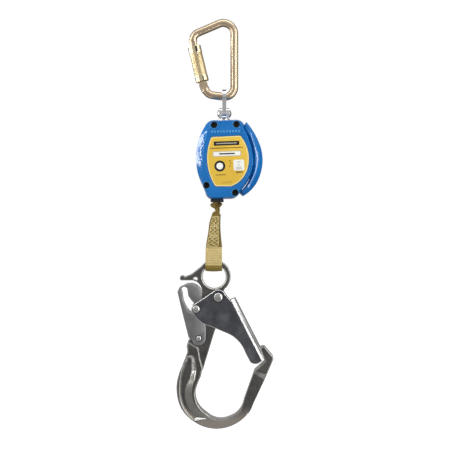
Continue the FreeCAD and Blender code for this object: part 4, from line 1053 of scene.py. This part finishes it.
class Ribbon:
    """Woven band: a grid of points and normals, in mm, from frames along its length.

    Each frame is (centre, direction along the width, width, fold height, folds, phase, normal)."""

    def __init__(self, frames, columns=18):
        self.columns = columns
        self.points = []
        for centre, along, width, fold, folds, phase, away in frames:
            row = []
            for column in range(columns + 1):
                u = 2 * column / columns - 1
                rise = fold * math.sin(math.pi * folds * u + phase)
                row.append(centre + along * (u * width / 2) + away * rise)
            self.points.append(row)
        self.normals = []
        rows = len(self.points)
        for i in range(rows):
            line = []
            for j in range(columns + 1):
                down = self.points[min(i + 1, rows - 1)][j] - self.points[max(i - 1, 0)][j]
                over = self.points[i][min(j + 1, columns)] - self.points[i][max(j - 1, 0)]
                line.append(down.cross(over).normalized())
            self.normals.append(line)

    def place(self, share_down, share_over, lift):
        """Point on the band, lifted along its normal."""
        row = share_down * (len(self.points) - 1)
        column = share_over * self.columns
        i, j = min(int(row), len(self.points) - 2), min(int(column), self.columns - 1)
        a, b = row - i, column - j

        def blended(grid):
            top = grid[i][j].lerp(grid[i][j + 1], b)
            return top.lerp(grid[i + 1][j].lerp(grid[i + 1][j + 1], b), a)

        return (blended(self.points) + blended(self.normals) * lift) * MM

    def mesh(self, name, thickness, edge_share=0.55):
        bm = bmesh.new()
        layer = bm.loops.layers.uv.new("weave")
        rows, columns = len(self.points), self.columns
        lengths = [0.0]
        middle = columns // 2
        for first, second in zip(self.points, self.points[1:]):
            lengths.append(lengths[-1] + (second[middle] - first[middle]).length)
        spans = []
        for row in self.points:
            span = [0.0]
            for first, second in zip(row, row[1:]):
                span.append(span[-1] + (second - first).length)
            spans.append([value - span[-1] / 2 for value in span])
        sides = []
        where = {}
        for sign in (1, -1):
            grid = []
            for i in range(rows):
                line = []
                for j in range(columns + 1):
                    edge = edge_share if j in (0, columns) else 1.0
                    offset = self.normals[i][j] * (sign * edge * thickness / 2)
                    vertex = bm.verts.new((self.points[i][j] + offset) * MM)
                    where[vertex] = (spans[i][j] * MM, lengths[i] * MM)
                    line.append(vertex)
                grid.append(line)
            sides.append(grid)

        def face(corners):
            made = bm.faces.new(corners)
            for loop in made.loops:
                loop[layer].uv = where[loop.vert]

        front, rear = sides
        for i in range(rows - 1):
            for j in range(columns):
                face((front[i][j], front[i][j + 1], front[i + 1][j + 1], front[i + 1][j]))
                face((rear[i][j], rear[i + 1][j], rear[i + 1][j + 1], rear[i][j + 1]))
            for j, flip in ((0, False), (columns, True)):
                corners = (front[i][j], front[i + 1][j], rear[i + 1][j], rear[i][j])
                face(corners[::-1] if flip else corners)
        for i, flip in ((0, True), (rows - 1, False)):
            for j in range(columns):
                corners = (front[i][j], front[i][j + 1], rear[i][j + 1], rear[i][j])
                face(corners[::-1] if flip else corners)
        return mesh_from(bm, name, 60)


def twisted_frames(stations, steps, shift=0.0, part=(-1.0, 1.0)):
    """Frames from (x, y, z, turn, width, fold, folds, phase) stations.

    A turn of 0 is edge-on and 90 faces the front. shift moves the band along its normal,
    and part keeps a share of its width."""
    frames = []
    for x, y, z, turn, width, fold, folds, phase in spread(stations, steps):
        angle = math.radians(90 - turn)
        along = Vector((math.cos(angle), math.sin(angle), 0))
        away = Vector((-math.sin(angle), math.cos(angle), 0))
        middle = (part[0] + part[1]) / 4 * width
        centre = Vector((x, y, z)) + away * shift + along * middle
        frames.append((centre, along, width * (part[1] - part[0]) / 2, fold, folds, phase, away))
    return frames


def draped_frames(path, steps, x_top, x_low, width_top, width_low, crown=0.0):
    """Frames of a band that faces the front, through (y, z) points over the hook's eye."""
    frames = []
    smooth = smooth_path([Vector((0, y, z)) for y, z in path], steps)
    top = max(point.z for point in smooth)
    low = min(point.z for point in smooth)
    for index, point in enumerate(smooth):
        share = (top - point.z) / (top - low)
        before = smooth[max(index - 1, 0)]
        after = smooth[min(index + 1, len(smooth) - 1)]
        away = (after - before).normalized().cross(Vector((1, 0, 0)))
        centre = Vector((x_top + (x_low - x_top) * share, point.y, point.z))
        width = width_top + (width_low - width_top) * share
        frames.append((centre, Vector((1, 0, 0)), width, crown, 0.5, math.pi / 2, away))
    return frames


STITCH_TOP = -266.4
STITCH_LOW = -313.6
LOOP_BOTTOM = -346.4
BAND_THICKNESS = 1.5


def build_strap():
    stations = [
        (-10.1, 0, -249.0, 0, 24.4, 0.0, 1.0, 0.0),
        (-10.6, 0, -250.4, 26, 23.0, 1.3, 1.4, 0.6),
        (-11.3, -1.0, -252.8, 42, 23.0, 2.3, 1.6, 1.4),
        (-11.9, -0.6, -256.2, 34, 19.5, 2.6, 1.7, 2.0),
        (-9.7, 0.4, -259.8, 10, 13.5, 2.3, 1.8, 2.6),
        (-9.9, 0, -261.8, 12, 15.0, 2.4, 1.6, 3.0),
        (-11.6, 0, -264.4, 30, 21.0, 2.0, 1.3, 3.2),
        (-10.9, 0.5, -268.7, 30, 24.0, 0.6, 1.0, 3.3),
    ]
    ribbon = Ribbon(twisted_frames(stations, 10), 24)
    piece = link(ribbon.mesh("crumpled_strap", BAND_THICKNESS), "crumpled_strap", None, "webbing")
    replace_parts(piece, "web_strap")
    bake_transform(piece)


def build_stitched_band():
    rear = [
        (-10.9, 0.5, -268.7, 30, 24.0, 0.6, 1.0, 3.3),
        (-12.7, 0, -279.0, 38, 24.2, 0.4, 1.0, 3.3),
        (-13.3, 0, -291.0, 43, 24.5, 0.3, 1.0, 3.3),
        (-13.9, 0, -303.0, 56, 23.9, 0.2, 1.0, 3.3),
        (-14.0, 0, STITCH_LOW, 76, 22.6, 0.0, 1.0, 3.3),
    ]
    ribbon = Ribbon(twisted_frames(rear, 12, 0.8), 18)
    rear_layer = ribbon.mesh("rear_layer", BAND_THICKNESS)
    piece = link(rear_layer, "rear_layer", "lifeline", "webbing_shade", "webbing")
    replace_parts(piece, "web_stitched")
    front = [(-12.2, -0.4, STITCH_TOP, 30, 22.0, 0.5, 1.0, 3.3)]
    front += [(x - 1.1, *others) for x, *others in rear[1:]]
    layer = Ribbon(twisted_frames(front, 12, -0.85, (-1.0, 0.68)), 18)
    tab = layer.mesh("stitched_tab", BAND_THICKNESS)
    link(tab, "stitched_tab", "lifeline", "webbing")
    lift = BAND_THICKNESS / 2 + 0.15
    bm = bmesh.new()

    def sew(course, radius, steps=10):
        """Thread along straight runs between (down, over) shares of the tab."""
        line = []
        for (down, over), (next_down, next_over) in zip(course, course[1:]):
            for step in range(steps):
                share = step / steps
                line.append(layer.place(down + (next_down - down) * share,
                                        over + (next_over - over) * share, lift))
        line.append(layer.place(*course[-1], lift))
        tube_bmesh(bm, line, radius * MM, 6)

    for first, last in ((0.08, 0.30), (0.34, 0.61), (0.65, 0.94)):
        bars = max(4, round((last - first) * 17))
        for column in ((0.10, 0.46), (0.52, 0.90)):
            zigzag = [(first + (last - first) * index / bars, column[index % 2])
                      for index in range(bars + 1)]
            sew(zigzag, 0.46)
        sew([(first, 0.08), (first, 0.92), (last, 0.92), (last, 0.08), (first, 0.08)], 0.5)
    sew([(0.06, 0.49), (0.94, 0.49)], 0.5, 60)
    add_piece(bm, "stitching", "lifeline", "thread", "webbing", 60)


def loop_path(reach_top, radius, top, low):
    """(y, z) points down the front, round under the eye and up behind."""
    centre = low + radius
    front = [(-reach_top, top), (-(reach_top + radius) / 2, (top + centre + 9) / 2 + 1),
             (-radius, centre + 7)]
    arc = []
    for step in range(9):
        angle = math.radians(180 + 180 * step / 8)
        arc.append((radius * math.cos(angle), centre + radius * math.sin(angle)))
    rear = [(-y, z) for y, z in front[::-1]]
    return front + arc + rear


def build_loop():
    inner_path = loop_path(1.0, 6.15, STITCH_LOW + 1.5, LOOP_BOTTOM + 1.7)
    inner = Ribbon(draped_frames(inner_path, 4, -14.6, -14.7, 20.8, 22.4), 16)
    piece = link(inner.mesh("eye_loop", BAND_THICKNESS), "eye_loop", "lifeline", "webbing")
    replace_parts(piece, "web_loop")
    path = loop_path(3.8, 7.5, STITCH_LOW + 0.4, LOOP_BOTTOM + 0.35)
    outer = Ribbon(draped_frames(path, 5, -14.9, -15.0, 23.0, 23.6, 0.8), 20)
    sleeve = link(outer.mesh("chafe_sleeve", 0.7), "chafe_sleeve", "lifeline", "sleeve_fabric")
    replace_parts(sleeve, "loop_sleeve")
    low_path = [(y, z) for y, z in path if z < LOOP_BOTTOM + 14.5]
    band = Ribbon(draped_frames(low_path, 5, -15.0, -15.0, 23.7, 23.9, 0.8), 20)
    link(band.mesh("wear_band", 1.5), "wear_band", "lifeline", "wear_fabric", "sleeve_fabric")


paint_cad()
build_metalwork()
build_covers()
build_springs()
build_wound_web()
build_label()
build_label_rim()
build_cover_details()
build_sleeve_slot_shadows()
build_strap()
build_stitched_band()
build_loop()
add_stage()
add_lights()
add_world()
add_camera()
